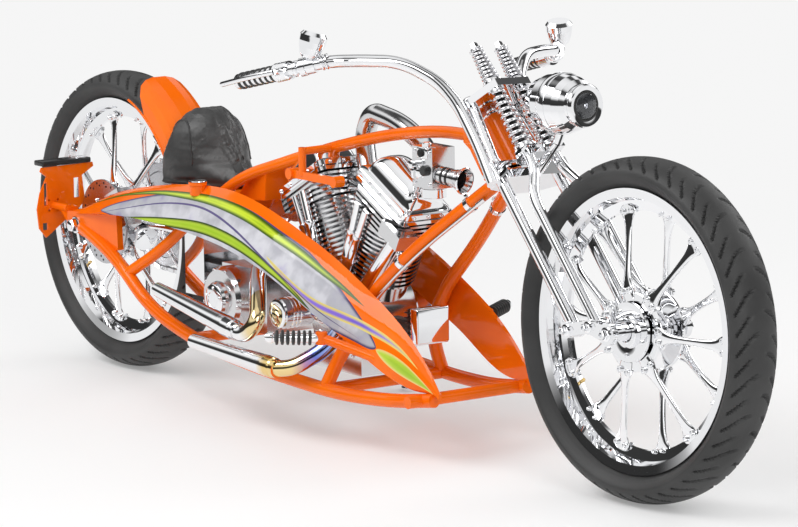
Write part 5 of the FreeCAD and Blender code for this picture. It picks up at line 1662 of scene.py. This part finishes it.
@dataclass(frozen=True)
class Seat(Fitting):
    """The tall solo seat: a stuffed leather cover with welts and gathers."""

    voxel: float = 0.005
    shrink_mm: float = 3.0
    pressure: float = 4.0
    cap_mm: float = 9.0
    welt_left: float = 84.0
    guard_radius: float = 398.0
    # Below this height the pad rests on the pan
    pan_top: float = 513.0
    # Where the rounding of its front starts
    nose_from: float = 324.0
    swell_frames: int = 20
    # The gathers across its front: height and depth
    gathers: Profile = (
        (543, 3.4), (556, 2.6), (571, 3.8), (587, 3), (600, 4.2), (618, 2.4), (636, 1.6),
    )
    # How much of its width the seat keeps at a height
    taper: Profile = ((540, 1), (590, 0.97), (630, 0.91), (655, 0.83), (675, 0.70), (686, 0.58), (700, 0.44),)

    # The CAD pad's front: height and place ahead
    front: Profile = ((514, 560), (540, 530), (564, 500), (598, 470), (640, 446), (676, 420), (692, 400),)

    def share(self, up: float) -> float:
        """The share of its width that the seat keeps at a height."""
        heights, shares = zip(*self.taper)
        return float(np.interp(up, heights, shares))

    def nose(self, spot: Vector) -> float:
        """The share of its width that the seat keeps towards its rounded front."""
        heights, places = zip(*self.front)
        end = float(np.interp(spot.z, heights, places))
        along = clamped((spot.x - self.nose_from) / (end - self.nose_from))
        rounded = math.sqrt(1.0 - 0.86 * along ** 2.6)
        high = clamped((spot.z - 520) / 40.0)
        return 1.0 + (rounded - 1.0) * high

    def build(self, frame: dict) -> None:
        """Swells a copy of the CAD pad, gathers it, and sews its welts.

        Args:
            frame: the loaded frame.
        """
        place = self.bench.stance.place(Body.FRAME)
        back = place.inverted()
        mesh = frame["nodes"]["seat"].data.copy()
        form = bmesh.new()
        form.from_mesh(mesh)
        bmesh.ops.remove_doubles(form, verts=form.verts, dist=1e-5)
        form.to_mesh(mesh)
        form.free()
        pad = link_object("seat_cover", mesh)
        remesh = pad.modifiers.new("even_faces", "REMESH")
        remesh.mode = "VOXEL"
        remesh.voxel_size = self.voxel
        self.settle(pad, remesh)
        start = [back @ vert.co for vert in pad.data.vertices]
        held = [self.is_held(spot) for spot in start]
        for vert, keep in zip(pad.data.vertices, held):
            if not keep:
                vert.co -= vert.normal * self.shrink_mm * MM
        self.swell(pad, held)
        self.finish_form(pad, start, held, place, back)
        finer = pad.modifiers.new("finer", "SUBSURF")
        finer.levels = finer.render_levels = 1
        self.settle(pad, finer)
        pad.data.materials.clear()
        pad.data.materials.append(self.bench.paint.get(Finish.LEATHER))
        pad.data.shade_smooth()
        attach(pad, Body.FRAME.value)
        welts = self.welts(pad)
        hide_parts("seat")
        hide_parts("seat")
        LOG.info("seat_cover rides on %s with %d faces", Body.FRAME.value, len(pad.data.polygons))

    def is_held(self, spot: Vector) -> bool:
        """Whether a point of the cover rests on the pan, the guard or the tubes."""
        radius = math.hypot(spot.x, spot.z - Stance.tyre_radius)
        near_guard = radius < self.guard_radius + 5.0 and abs(spot.y) < 76.0
        return spot.z < self.pan_top or near_guard

    @staticmethod
    def settle(pad: Object, modifier: bpy.types.Modifier) -> None:
        """Applies one modifier to the pad."""
        graph = bpy.context.evaluated_depsgraph_get()
        mesh = bpy.data.meshes.new_from_object(pad.evaluated_get(graph), depsgraph=graph)
        pad.modifiers.remove(modifier)
        pad.data = mesh

    def swell(self, pad: Object, held: Sequence[bool]) -> None:
        """Blows the cover up with Cloth, held where it rests.

        Args:
            pad: the pad.
            held: which of its points stay.
        """
        group = pad.vertex_groups.new(name="held")
        group.add([i for i, keep in enumerate(held) if keep], 1.0, "REPLACE")
        cloth = pad.modifiers.new("swell", "CLOTH")
        settings = cloth.settings
        settings.quality = 6
        settings.mass = 0.4
        settings.use_pressure = True
        settings.uniform_pressure_force = self.pressure
        settings.vertex_group_mass = "held"
        settings.effector_weights.gravity = 0.0
        settings.tension_stiffness = 20.0
        settings.bending_stiffness = 0.6
        scene = bpy.context.scene
        for number in range(self.swell_frames):
            scene.frame_set(number + 1)
        self.settle(pad, cloth)
        scene.frame_set(1)

    def finish_form(self, pad: Object, start: Sequence[Vector], held: Sequence[bool], place: Matrix,
                    back: Matrix) -> None:
        """Caps how far the cover moved, then presses its seams and gathers in.

        Args:
            pad: the pad.
            start: its points before it swelled, upright millimetres.
            held: which of them rest on something.
            place: from upright millimetres to the part.
            back: the other way.
        """
        turn = back.to_3x3()
        for vert, first, keep in zip(pad.data.vertices, start, held):
            spot = back @ vert.co
            move = spot - first
            if move.length > self.cap_mm:
                move = move.normalized() * self.cap_mm
            spot = first + move
            if not keep:
                out = (turn @ vert.normal).normalized()
                seam = abs(abs(spot.y) - self.welt_left)
                press = 3.2 * math.exp(-(seam / 5) ** 2)
                low = clamped((640 - spot.z) / 90.0)
                fan = math.sin(spot.y * 0.16 + 0.8 * math.sin(spot.z * 0.06))
                press += low * 0.9 * max(0.0, fan) ** 2
                front = clamped((spot.x - 370) / 40.0)
                for k, (level, deep) in enumerate(self.gathers):
                    sway = 9.0 * noise.noise(Vector((spot.y * 0.016, k * 7.3, 0)))
                    away = spot.z - level - sway - (0.05 + 0.015 * k) * abs(spot.y - 20.0)
                    fade = 0.55 + 0.9 * noise.noise(Vector((spot.y * 0.021, k * 3.1, 5)))
                    press += deep * front * max(0.0, fade) * math.exp(-(away / 4.6) ** 2)
                press += 1.3 * (noise.noise(spot * 0.028) + 0.5 * noise.noise(spot * 0.07))
                spot = spot - out * press
                spot.y *= self.share(spot.z) * self.nose(spot)
            vert.co = place @ spot
        pad.data.update()

    def welts(self, pad: Object) -> Object:
        """Piping over both side seams, laid on the cover's own surface.

        Args:
            pad: the finished cover.

        Returns:
            The piping.
        """
        place = self.bench.stance.place(Body.FRAME)
        back = place.inverted()
        points = [back @ vert.co for vert in pad.data.vertices]
        tree = BVHTree.FromPolygons(points, [tuple(face.vertices) for face in pad.data.polygons])
        shape = Shape()
        for side in (1, -1):
            path = []
            for k in range(41):
                angle = math.radians(-8.0 + 196.0 * k / 40)
                aim = outward(angle)
                hit = Vector((0, 0, 560 + 120 * max(0, aim.z)))
                for _ in range(4):
                    middle = Vector((392, side * self.welt_left * self.share(hit.z), 560))
                    hit = tree.ray_cast(middle + aim * 300.0, -aim, 300.0)[0] or hit
                path.append(hit + aim * 0.6)
            smoothed = [(a + b * 2 + c) / 4 for a, b, c in zip(path, path[1:], path[2:])]
            shape.tube([path[0], *smoothed, path[-1]], 2.6, Finish.LEATHER, 10, 3)
        return shape.piece("seat_welts", Body.FRAME, self.bench)


@dataclass(frozen=True)
class Motor(Fitting):
    """Where the V-twin's parts are, upright millimetres."""

    crank: Point = (1020.0, 0.0, 262.0)
    lean_deg: float = 28.0
    head_top: float = 332.0
    # Each cylinder's sign, -1 for the rear and 1 for the front, and how long its head's cover is
    heads: tuple[tuple[int, float], ...] = ((-1, 200), (1, 210))

    def axis(self, sign: int) -> Vector:
        """The way one cylinder points: -1 for the rear, 1 for the front."""
        lean = math.radians(sign * self.lean_deg)
        return Vector((math.sin(lean), 0, math.cos(lean)))


@dataclass(frozen=True)
class EngineFittings(Motor):
    """Bolts, collars and small parts on the motor, carburettor and gearbox."""

    case_half: float = 78.0
    pushrod_left: float = -92.0
    cover_half: float = 68.6
    canister: Point = (950.0, 0.0, 279.0)
    gearbox_cap: Point = (594.0, 0.0, 258.0)
    clutch: Point = (640.0, 0.0, 262.0)
    primary_face: float = 151.6
    stack_mouth: Point = (1400.0, -52.0, 637.0)
    carburettor_middle: Point = (1364.0, -46.0, 652.0)

    def build(self) -> None:
        """Adds every fitting."""
        crank = Vector(self.crank)
        shape = Shape()
        for sign, long in self.heads:
            axis = self.axis(sign)
            ahead = Vector((axis.z, 0, -axis.x))
            joint = crank + axis * self.head_top + axis * 18
            for side in (1, -1):
                for k in range(5):
                    at = -long / 2 + 16 + (long - 32) * k / 4
                    self.bench.screw(Body.FRAME, joint + ahead * at + sideways(side * self.cover_half),
                                     sideways(side), 4.6)
            for way in (1, -1):
                for at in (-38.0, 0.0, 38.0):
                    self.bench.screw(Body.FRAME, joint + ahead * (way * (long / 2 - 1.4)) + sideways(at),
                                     ahead * way, 4.2)
            # Collars on the pushrod tubes
            inward = -1 if sign > 0 else 1
            beside = sideways(self.pushrod_left)
            for offset in (0.0, 34.0):
                foot = crank + axis * 96.0 + ahead * (inward * offset * 0.3) + beside
                top = crank + axis * (self.head_top - 26) + ahead * (inward * offset) + beside
                run = (top - foot).normalized()
                span = (top - foot).length
                collars = [(9.4, 0.30), (12.6, 0.31), (12.6, 0.36), (11.2, 0.37), (11.2, 0.62), (12.6, 0.63),
                           (12.6, 0.66), (9.4, 0.67)]
                shape.lathe([(radius, span * at) for radius, at in collars], foot, run, 28, ring=True)
        # Cam chest cover
        cam = crank + Vector((0, 0, 46))
        face = self.case_half
        shape.lathe([(0.1, face + 45.7), (49, face + 45.7), (49, face + 49), (46, face + 51),
                     (30, face + 51.5), (26, face + 49.5)], cam, RIGHT, 64)
        self.bench.screws(Body.FRAME, cam + RIGHT * (face + 50.6), RIGHT, 40.0, 6, 4.0, 0.4)
        self.bench.screws(Body.FRAME, crank + RIGHT * (face - 0.4), RIGHT, 98.0, 14, 4.8)
        # Oil filter face and flutes
        canister = Vector(self.canister)
        shape.lathe([(33.5, 195.4), (33.5, 197.2), (30, 198.6), (24, 198.8), (22, 197.4)], canister, RIGHT,
                    48)
        for at in (150.0, 160.0, 170.0):
            shape.lathe([(35.9, at), (37, at + 0.8), (37, at + 4.2), (35.9, at + 5)], canister, RIGHT, 48,
                        ring=True)
        # Gearbox end cover
        cap = Vector(self.gearbox_cap)
        shape.lathe([(37.6, 139.6), (37.6, 141.6), (35, 143.4), (20, 144.6), (19, 143.4)], cap, RIGHT, 56)
        self.bench.screws(Body.FRAME, cap + RIGHT * 141.9, RIGHT, 29.0, 5, 3.8, 0.9)
        self.bench.screws(Body.FRAME, cap + RIGHT * 119.6, RIGHT, 71.0, 9, 4.6, 0.2)
        # Clutch side cover
        clutch = Vector(self.clutch)
        shape.lathe([(64, 151.8), (64, 156), (58, 160), (30, 162.5), (10, 162.8)], clutch, LEFT, 64)
        face = LEFT * self.primary_face
        self.bench.screws(Body.FRAME, clutch + LEFT * 159.2, LEFT, 52.0, 6, 4.0)
        self.bench.screws(Body.FRAME, clutch + face, LEFT, 76.0, 10, 4.6, 0.3)
        self.bench.screws(Body.FRAME, crank + face, LEFT, 43.0, 6, 4.6, 0.3)
        for k in range(4):
            share = 0.28 + 0.16 * k
            at = clutch + (crank - clutch) * share
            for sign in (1, -1):
                self.bench.screw(Body.FRAME, at + face + UP * (sign * (73 - 6.5 * share * 4)), LEFT, 4.6)
        shape.piece("motor_fittings", Body.FRAME, self.bench)
        self.carburettor()

    def carburettor(self) -> None:
        """The velocity stack's lip and its throat, lined in black as painted shade, its clamp bands and the
        bowl's screws.
        """
        mouth = Vector(self.stack_mouth)
        aim = Vector((0.95, 0.24, -0.12)).normalized()
        shape = Shape()
        shape.lathe([(27.4, 67), (30.2, 66), (31, 68.5), (29, 71), (27, 69.6)], mouth, aim, 56, ring=True)
        # The throat's black lining and the black disc that closes it are painted shade inside the stack
        shape.lathe([(15.6, 36.4), (15.6, 37)], mouth, aim, 40, Finish.DARK)
        shape.lathe([(20.4, 53), (15.9, 37), (15.5, 37), (20, 53.2)], mouth, aim, 40, Finish.DARK, ring=True)
        for at in (10.0, 24.0):
            shape.lathe([(18.9, at), (20.4, at + 1), (20.4, at + 6), (18.9, at + 7)], mouth, aim, 40,
                        Finish.BLACK, ring=True)
        body = Vector(self.carburettor_middle)
        barrel = body + Vector((0, -8, -14))
        shape.lathe([(23, -34), (29, -33), (29, -27), (23.5, -25), (22, -6), (24.5, -4), (24.5, 4), (21, 8),
                     (21, 34)], barrel, aim, 48)
        shape.block(body + Vector((8, -24, 34)), (38, 30, 26), Finish.CHROME, 4.0)
        shape.lathe([(11, 0), (11, 8), (8, 11)], body + Vector((8, -24, 46)), UP, 28)
        shape.lathe([(9, 0), (9, 6), (6, 8)], body + Vector((8, -38, 34)), RIGHT, 28, Finish.DARK)
        shape.lathe([(7, 0), (7, 14), (9, 15), (9, 19), (5, 21)], body + Vector((-22, -30, 6)), RIGHT, 24)
        shape.lathe([(27.1, -70), (28.6, -69), (28.6, -50), (27.1, -49)], body, UP, 40, ring=True)
        shape.lathe([(12, 30.8), (12, 38), (9.5, 41)], body + Vector((12, 0, -6)), RIGHT, 28, Finish.BLACK)
        for x, z in ((-28, 36), (28, 36), (-28, -36), (28, -36)):
            self.bench.screw(Body.FRAME, body + Vector((x, -30.8, z)), RIGHT, 4.0)
        shape.piece("carburettor_fittings", Body.FRAME, self.bench)


@dataclass(frozen=True)
class HeadCovers(Motor):
    """The two-tier covers on the cylinder heads, and the regulator's box ahead of the case."""

    half_wide: float = 70.0
    # The points in a corner's arc
    corner: int = 9
    fins: int = 6
    # Height over the head, how much shorter and narrower than the joint, and the corner's radius
    tiers: tuple[tuple[float, float, float], ...] = (
        (0, 0, 16), (9, 0, 16), (10.5, 1.5, 16), (10.5, 5, 15), (12.5, 5, 15), (12.5, 1, 16), (25, 1, 16),
        (28, 3, 16), (29.5, 7, 18), (30.5, 14, 20), (34, 16, 20), (44, 17.5, 22), (54, 21, 24), (63, 27, 26),
        (70, 34, 28), (75, 43, 26), (78, 52, 17), (79, 60, 9),
    )

    def outline(self, half_long: float, half_wide: float, radius: float) -> list[tuple[float, float]]:
        """A rounded rectangle as (ahead, left) pairs."""
        pairs = []
        for quarter, (a, b) in enumerate(((1, 1), (-1, 1), (-1, -1), (1, -1))):
            for k in range(self.corner):
                turn = math.pi / 2 * (quarter + k / (self.corner - 1))
                pairs.append((a * (half_long - radius) + radius * math.cos(turn),
                              b * (half_wide - radius) + radius * math.sin(turn)))
        return pairs

    def build(self) -> None:
        """Makes the covers and the box, and puts them in place of their nodes."""
        shape = Shape()
        crank = Vector(self.crank)
        for sign, long in self.heads:
            up = self.axis(sign)
            ahead = Vector((up.z, 0, -up.x))
            points = [crank + up * (self.head_top + height) + ahead * x + sideways(y)
                      for height, inset, radius in self.tiers
                      for x, y in self.outline(long / 2 - inset, self.half_wide - inset, radius)]
            shape.add(points, capped(len(self.tiers), 4 * self.corner), Finish.CHROME)
        covers = shape.piece("head_covers", Body.FRAME, self.bench, 28.0)
        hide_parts("rocker_covers")
        box = Shape()
        box.block(Vector((1289, -9, 278)), (28, 92, 84), Finish.CHROME, 5.0)
        box.block(Vector((1268, -9, 278)), (18, 84, 76), Finish.BLACK, 3.0)
        for k in range(self.fins):
            box.block(Vector((1268, -9, 248 + 12 * k)), (22, 96, 3), Finish.BLACK, 1.0)
        box.block(Vector((1205, 0, 262)), (150, 30, 30), Finish.BLACK, 4.0)
        piece = box.piece("finned_regulator", Body.FRAME, self.bench, slot="chrome")
        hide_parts("regulator")


@dataclass(frozen=True)
class FootPegs(Fitting):
    """Chrome pegs with black rubber rings on orange struts, both sides."""

    base: Point = (1181.0, 232.0, 259.0)
    tip: Point = (1114.0, 342.0, 264.0)
    strut_end: Point = (1349.0, 134.0, 204.0)
    rings: int = 7

    def build(self) -> None:
        """Makes both pegs and puts them in place of their node."""
        shape = Shape()
        for side in (1, -1):
            base, tip, end = (Vector((x, side * y, z)) for x, y, z in (self.base, self.tip, self.strut_end))
            run = (tip - base).normalized()
            length = (tip - base).length
            strut_end = base + (end - base) * 0.86
            shape.tube([base - run * 2, strut_end], 11.0, Finish.ORANGE, 24)
            shape.lathe([(11, -15), (13.5, -13), (13.5, 13), (11, 15)], base, UP, 32, Finish.ORANGE)
            self.bench.screw(Body.FRAME, base + Vector((0, 0, 14.6)), UP, 5.5)
            shape.lathe([(11, 6), (11, length - 20), (13, length - 17), (12.6, length - 9), (7, length - 1),
                         (3, length)], base, run, 36)
            pitch = (length - 42.0) / self.rings
            for k in range(self.rings):
                low = 22.0 + pitch * k
                shape.lathe([(10.9, low), (15.6, low + 0.8), (17, low + 2.6), (17, low + pitch * 0.42),
                             (15.6, low + pitch * 0.56), (10.9, low + pitch * 0.62)], base, run, 36,
                            Finish.RUBBER, ring=True)
        piece = shape.piece("ringed_foot_pegs", Body.FRAME, self.bench, slot="chrome")
        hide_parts("foot_pegs")


@dataclass(frozen=True)
class Drive(Fitting):
    """The chain's links, the sprocket's and disc's bolts with dark discs painted as shade in their holes, and
    the caliper's bolts.
    """

    chain_left: float = 98.0
    rear_radius: float = 136.0
    front_radius: float = 48.0
    gearbox: Point = (640.0, 0.0, 262.0)
    pitch: float = 15.9

    def path(self) -> list[Vector]:
        """The chain's pitch line as a closed run of points, upright millimetres.

        Returns:
            Points a millimetre or so apart.
        """
        rear = Vector((0, self.chain_left, self.bench.stance.tyre_radius))
        front = Vector((self.gearbox[0], self.chain_left, self.gearbox[2]))
        span = (front - rear).length
        lie = math.atan2(front.z - rear.z, front.x - rear.x)
        tilt = math.acos((self.rear_radius - self.front_radius) / span)
        points = []
        for middle, radius, start, sweep in ((rear, self.rear_radius, lie + tilt, 2 * (math.pi - tilt)),
                                             (front, self.front_radius, lie - tilt, 2 * tilt)):
            for k in range(121):
                turn = start + sweep * k / 120
                points.append(middle + outward(turn) * radius)
        return points + [points[0]]

    def build(self) -> None:
        """Notes the links, the painted hole shade and the bolts."""
        path = self.path()
        lengths = [(b - a).length for a, b in zip(path, path[1:])]
        total = sum(lengths)
        count = int(round(total / self.pitch / 2)) * 2
        step = total / count
        index, passed = 0, 0.0
        for k in range(count):
            at = step * (k + 0.5)
            while index < len(lengths) - 1 and passed + lengths[index] < at:
                passed += lengths[index]
                index += 1
            run = (path[index + 1] - path[index]).normalized()
            spot = path[index] + run * (at - passed)
            aim = run.cross(LEFT)
            self.bench.add(Body.FRAME, Template.CHAIN_LINK, spot, aim, 12.0 if k % 2 else 10.4, run)
            self.bench.add(Body.FRAME, Template.CHAIN_ROLLER, spot + run * step * 0.5, aim, 10.4, run)
        hub = self.bench.stance.rear_middle
        self.bench.screws(Body.REAR_WHEEL, hub + LEFT * 100.8, LEFT, 72.0, 7, 5.4)
        # Dark discs painted as the shade inside the sprocket's and disc's drilled holes
        self.bench.circle(Body.REAR_WHEEL, Template.PAINTED_HOLE_SHADE, hub + LEFT * 100.7, LEFT, 101.0, 14, 7.0, 0.2)
        for radius, offset in ((90, 0), (97, 0.12)):
            self.bench.circle(Body.REAR_WHEEL, Template.PAINTED_HOLE_SHADE, hub + RIGHT * 80.3, RIGHT, radius, 18, 3.2,
                              offset)
        self.bench.screws(Body.REAR_WHEEL, hub + RIGHT * 80.2, RIGHT, 58.0, 6, 5.0)
        turn = math.radians(24.0)
        caliper = hub + outward(turn) * 97.0 + RIGHT * 101.0
        across = round_axle(turn)
        for way in (1, -1):
            self.bench.screw(Body.FRAME, caliper + across * (way * 34), RIGHT, 7.0)


@dataclass(frozen=True)
class Tail(Fitting):
    """The plate bracket's bolts, the strip lamp, the guard's beads and the axle nuts."""

    face: float = -116.0
    boss: tuple[float, float] = (-157.0, 406.0)
    bolt_circle: float = 18.0
    guard_radius: float = 334.0
    guard_half: float = 70.0
    guard_degs: tuple[float, float] = (13.0, 70.0)
    axle_face: float = 160.2

    def build(self) -> None:
        """Adds the tail's pieces."""
        boss = Vector((self.face - 4, *self.boss))
        for k in range(4):
            turn = math.radians(45 + 90 * k)
            offset = Vector((0, math.cos(turn), math.sin(turn))) * self.bolt_circle
            self.bench.screw(Body.FRAME, boss + offset + AFT * -0.3, AFT, 4.6)
        shape = Shape()
        shape.lathe([(12, -0.3), (12, 3), (9, 5)], boss, AFT, 40)
        lamp = Shape()
        middle = Vector((self.face - 12, -118, 511))
        lamp.block(middle, (44, 140, 13), Finish.BLACK, 3.0)
        lamp.block(middle + Vector((-20.4, 0, 0)), (5, 132, 8.4), Finish.RED, 1.4)
        for k in range(15):
            lamp.block(middle + Vector((-22.6, -61.6 + 8.8 * k, 0)), (1.6, 1.2, 7.4), Finish.RED, 0.4)
        lamp.block(middle + Vector((4, 46, 0)), (30, 42, 14.2), Finish.CHROME, 3.0)
        piece = lamp.piece("strip_lamp", Body.FRAME, self.bench, slot="lamp_red")
        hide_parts("tail_lamp")
        # The guard's rolled edges
        low, high = self.guard_degs
        for side in (1, -1):
            points = []
            for k in range(13):
                turn = math.radians(low + (high - low) * k / 12)
                points.append(Vector((math.cos(turn) * self.guard_radius, side * self.guard_half,
                                      self.bench.stance.tyre_radius + math.sin(turn) * self.guard_radius)))
            shape.tube(points, 3.0, Finish.ORANGE, 12, 4)
        # Axle nuts and the adjusters beside them
        for side in (1, -1):
            aim = sideways(side)
            foot = self.bench.stance.rear_middle + aim * self.axle_face
            shape.lathe([(21, 0), (21, 2.6), (18.5, 3.4), (18.5, 4)], foot, aim, 40)
            shape.lathe([(17, 3.6), (17, 16), (14, 19)], foot, aim, 6)
            shape.lathe([(12, 16), (12, 20), (8, 22.4)], foot, aim, 28)
        shape.piece("tail_fittings", Body.FRAME, self.bench)


@dataclass(frozen=True)
class FrameFittings(Fitting):
    """The clips on the downtubes, the mount's bolts and the neck's rings."""

    downtube: tuple[Point, ...] = ((1560, 24, 628), (1350, 88, 470), (1200, 104, 345))
    radius: float = 16.0

    def build(self) -> None:
        """Adds the clips and rings."""
        shape = Shape()
        for side, share in ((-1, 0.78), (1, 0.42), (-1, 0.30)):
            a, b, _ = (Vector((x, side * y, z)) for x, y, z in self.downtube)
            if share > 0.7:
                a, b = (Vector((x, side * y, z)) for x, y, z in self.downtube[1:])
                share = 0.30
            run = (b - a).normalized()
            spot = a + (b - a) * share
            r = self.radius
            shape.lathe([(r + 0.2, -7), (r + 2.4, -6), (r + 2.4, 6), (r + 0.2, 7)], spot, run, 40, ring=True)
            out = (run.cross(LEFT)).normalized()
            out = out if out.z > 0 else -out
            shape.block(spot + out * (r + 6), (12, 8, 9), Finish.CHROME, 1.6, (run, run.cross(out), out))
            self.bench.screw(Body.FRAME, spot + out * (r + 6) + run.cross(out) * 3.8, run.cross(out), 3.4)
        # Lids on the pods' filler caps
        for side in (1, -1):
            cap = Vector((545, side * 148, 505))
            shape.lathe([(21, 32.6), (20.4, 34.2), (16, 34.8), (4, 35)], cap, UP, 48)
        for at in (-46.0, 88.0):
            shape.lathe([(25.2, at), (27.4, at + 1), (27.4, at + 5), (25.2, at + 6)], self.bench.stance.head,
                        self.bench.stance.down, 56, ring=True)
        shape.piece("frame_clips", Body.FRAME, self.bench)


NODE_FINISHES = {Finish.ORANGE: ("backbone", "cradle", "lower_rail_left", "lower_rail_right",
                                 "rear_mudguard", "plate_bracket", "seat_base", "filler_caps"),
                 Finish.PODS: ("pod_left", "pod_right"), Finish.CHROME: ("fork_clamps", "fork_rear_legs",
                                                                         "fork_front_legs", "fork_rockers",
                                                                         "handlebars", "hand_controls",
                                                                         "headlamp", "rocker_covers",
                                                                         "pushrod_tubes", "primary_cover",
                                                                         "rear_axle", "side_stand",
                                                                         "front_rim", "rear_rim",
                                                                         "front_hub", "rear_hub",
                                                                         "foot_pegs", "oil_tank",
                                                                         "regulator"),
                 Finish.POLISHED: ("crankcase", "gearbox", "cylinders", "intake", "rear_caliper"),
                 Finish.SPRING: ("fork_springs", "drive_chain", "brake_line"),
                 Finish.DISC: ("sprocket_and_disc",), Finish.TYRE: ("front_tyre", "rear_tyre"),
                 Finish.RUBBER: ("grips",), Finish.LEATHER: ("seat",), Finish.TINTED: ("exhausts",),
                 Finish.GLASS: ("headlamp_lens",), Finish.RED: ("tail_lamp",),}


def dress_nodes(frame: dict, paint: Paintshop) -> None:
    """Gives every CAD node its finish.

    Args:
        frame: the loaded frame.
        paint: the materials.
    """
    for finish, names in NODE_FINISHES.items():
        for name in names:
            piece = frame["nodes"][name]
            piece.data.materials.clear()
            piece.data.materials.append(paint.get(finish))


def joint_spot(frame: dict, name: str) -> Vector:
    """Where a joint's axis lies, in metres."""
    joint = next(one for one in frame["joints"] if one["name"] == name)
    return Vector(joint["pos_m"])


def main() -> None:
    """Builds the scene in order."""
    logging.basicConfig(level=logging.INFO, format="%(message)s")
    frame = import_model()
    stance = Stance(rear_axle=joint_spot(frame, "rear_wheel"))
    Viewpoint().build(stance.rear_axle)
    Studio().build(Vector((0, 0, 0.45)))
    paint = Paintshop(stance)
    dress_nodes(frame, paint)
    bench = Bench(stance, paint)
    wheels = ((Body.REAR_WHEEL, "rear", stance.rear_middle), (Body.FRONT_WHEEL, "front", stance.front_axle))
    for body, end, middle in wheels:
        Tyre(bench, body, end + "_tyre").build(middle)
    for body, end, middle in wheels:
        WheelCentre(bench, body, end).build(middle)
    FrontHubCaps(bench).build(stance.front_axle)
    for group in (CoilSprings, ForkFittings, Headlamp, Bars):
        group(bench).build()
    Seat(bench).build(frame)
    for group in (EngineFittings, HeadCovers, FootPegs, Drive, Tail, FrameFittings):
        group(bench).build()
    bench.build()
    for piece in bpy.data.objects:
        if piece.name.startswith("frame_chain_"):
            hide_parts("drive_chain")


if __name__ == "__main__":
    main()
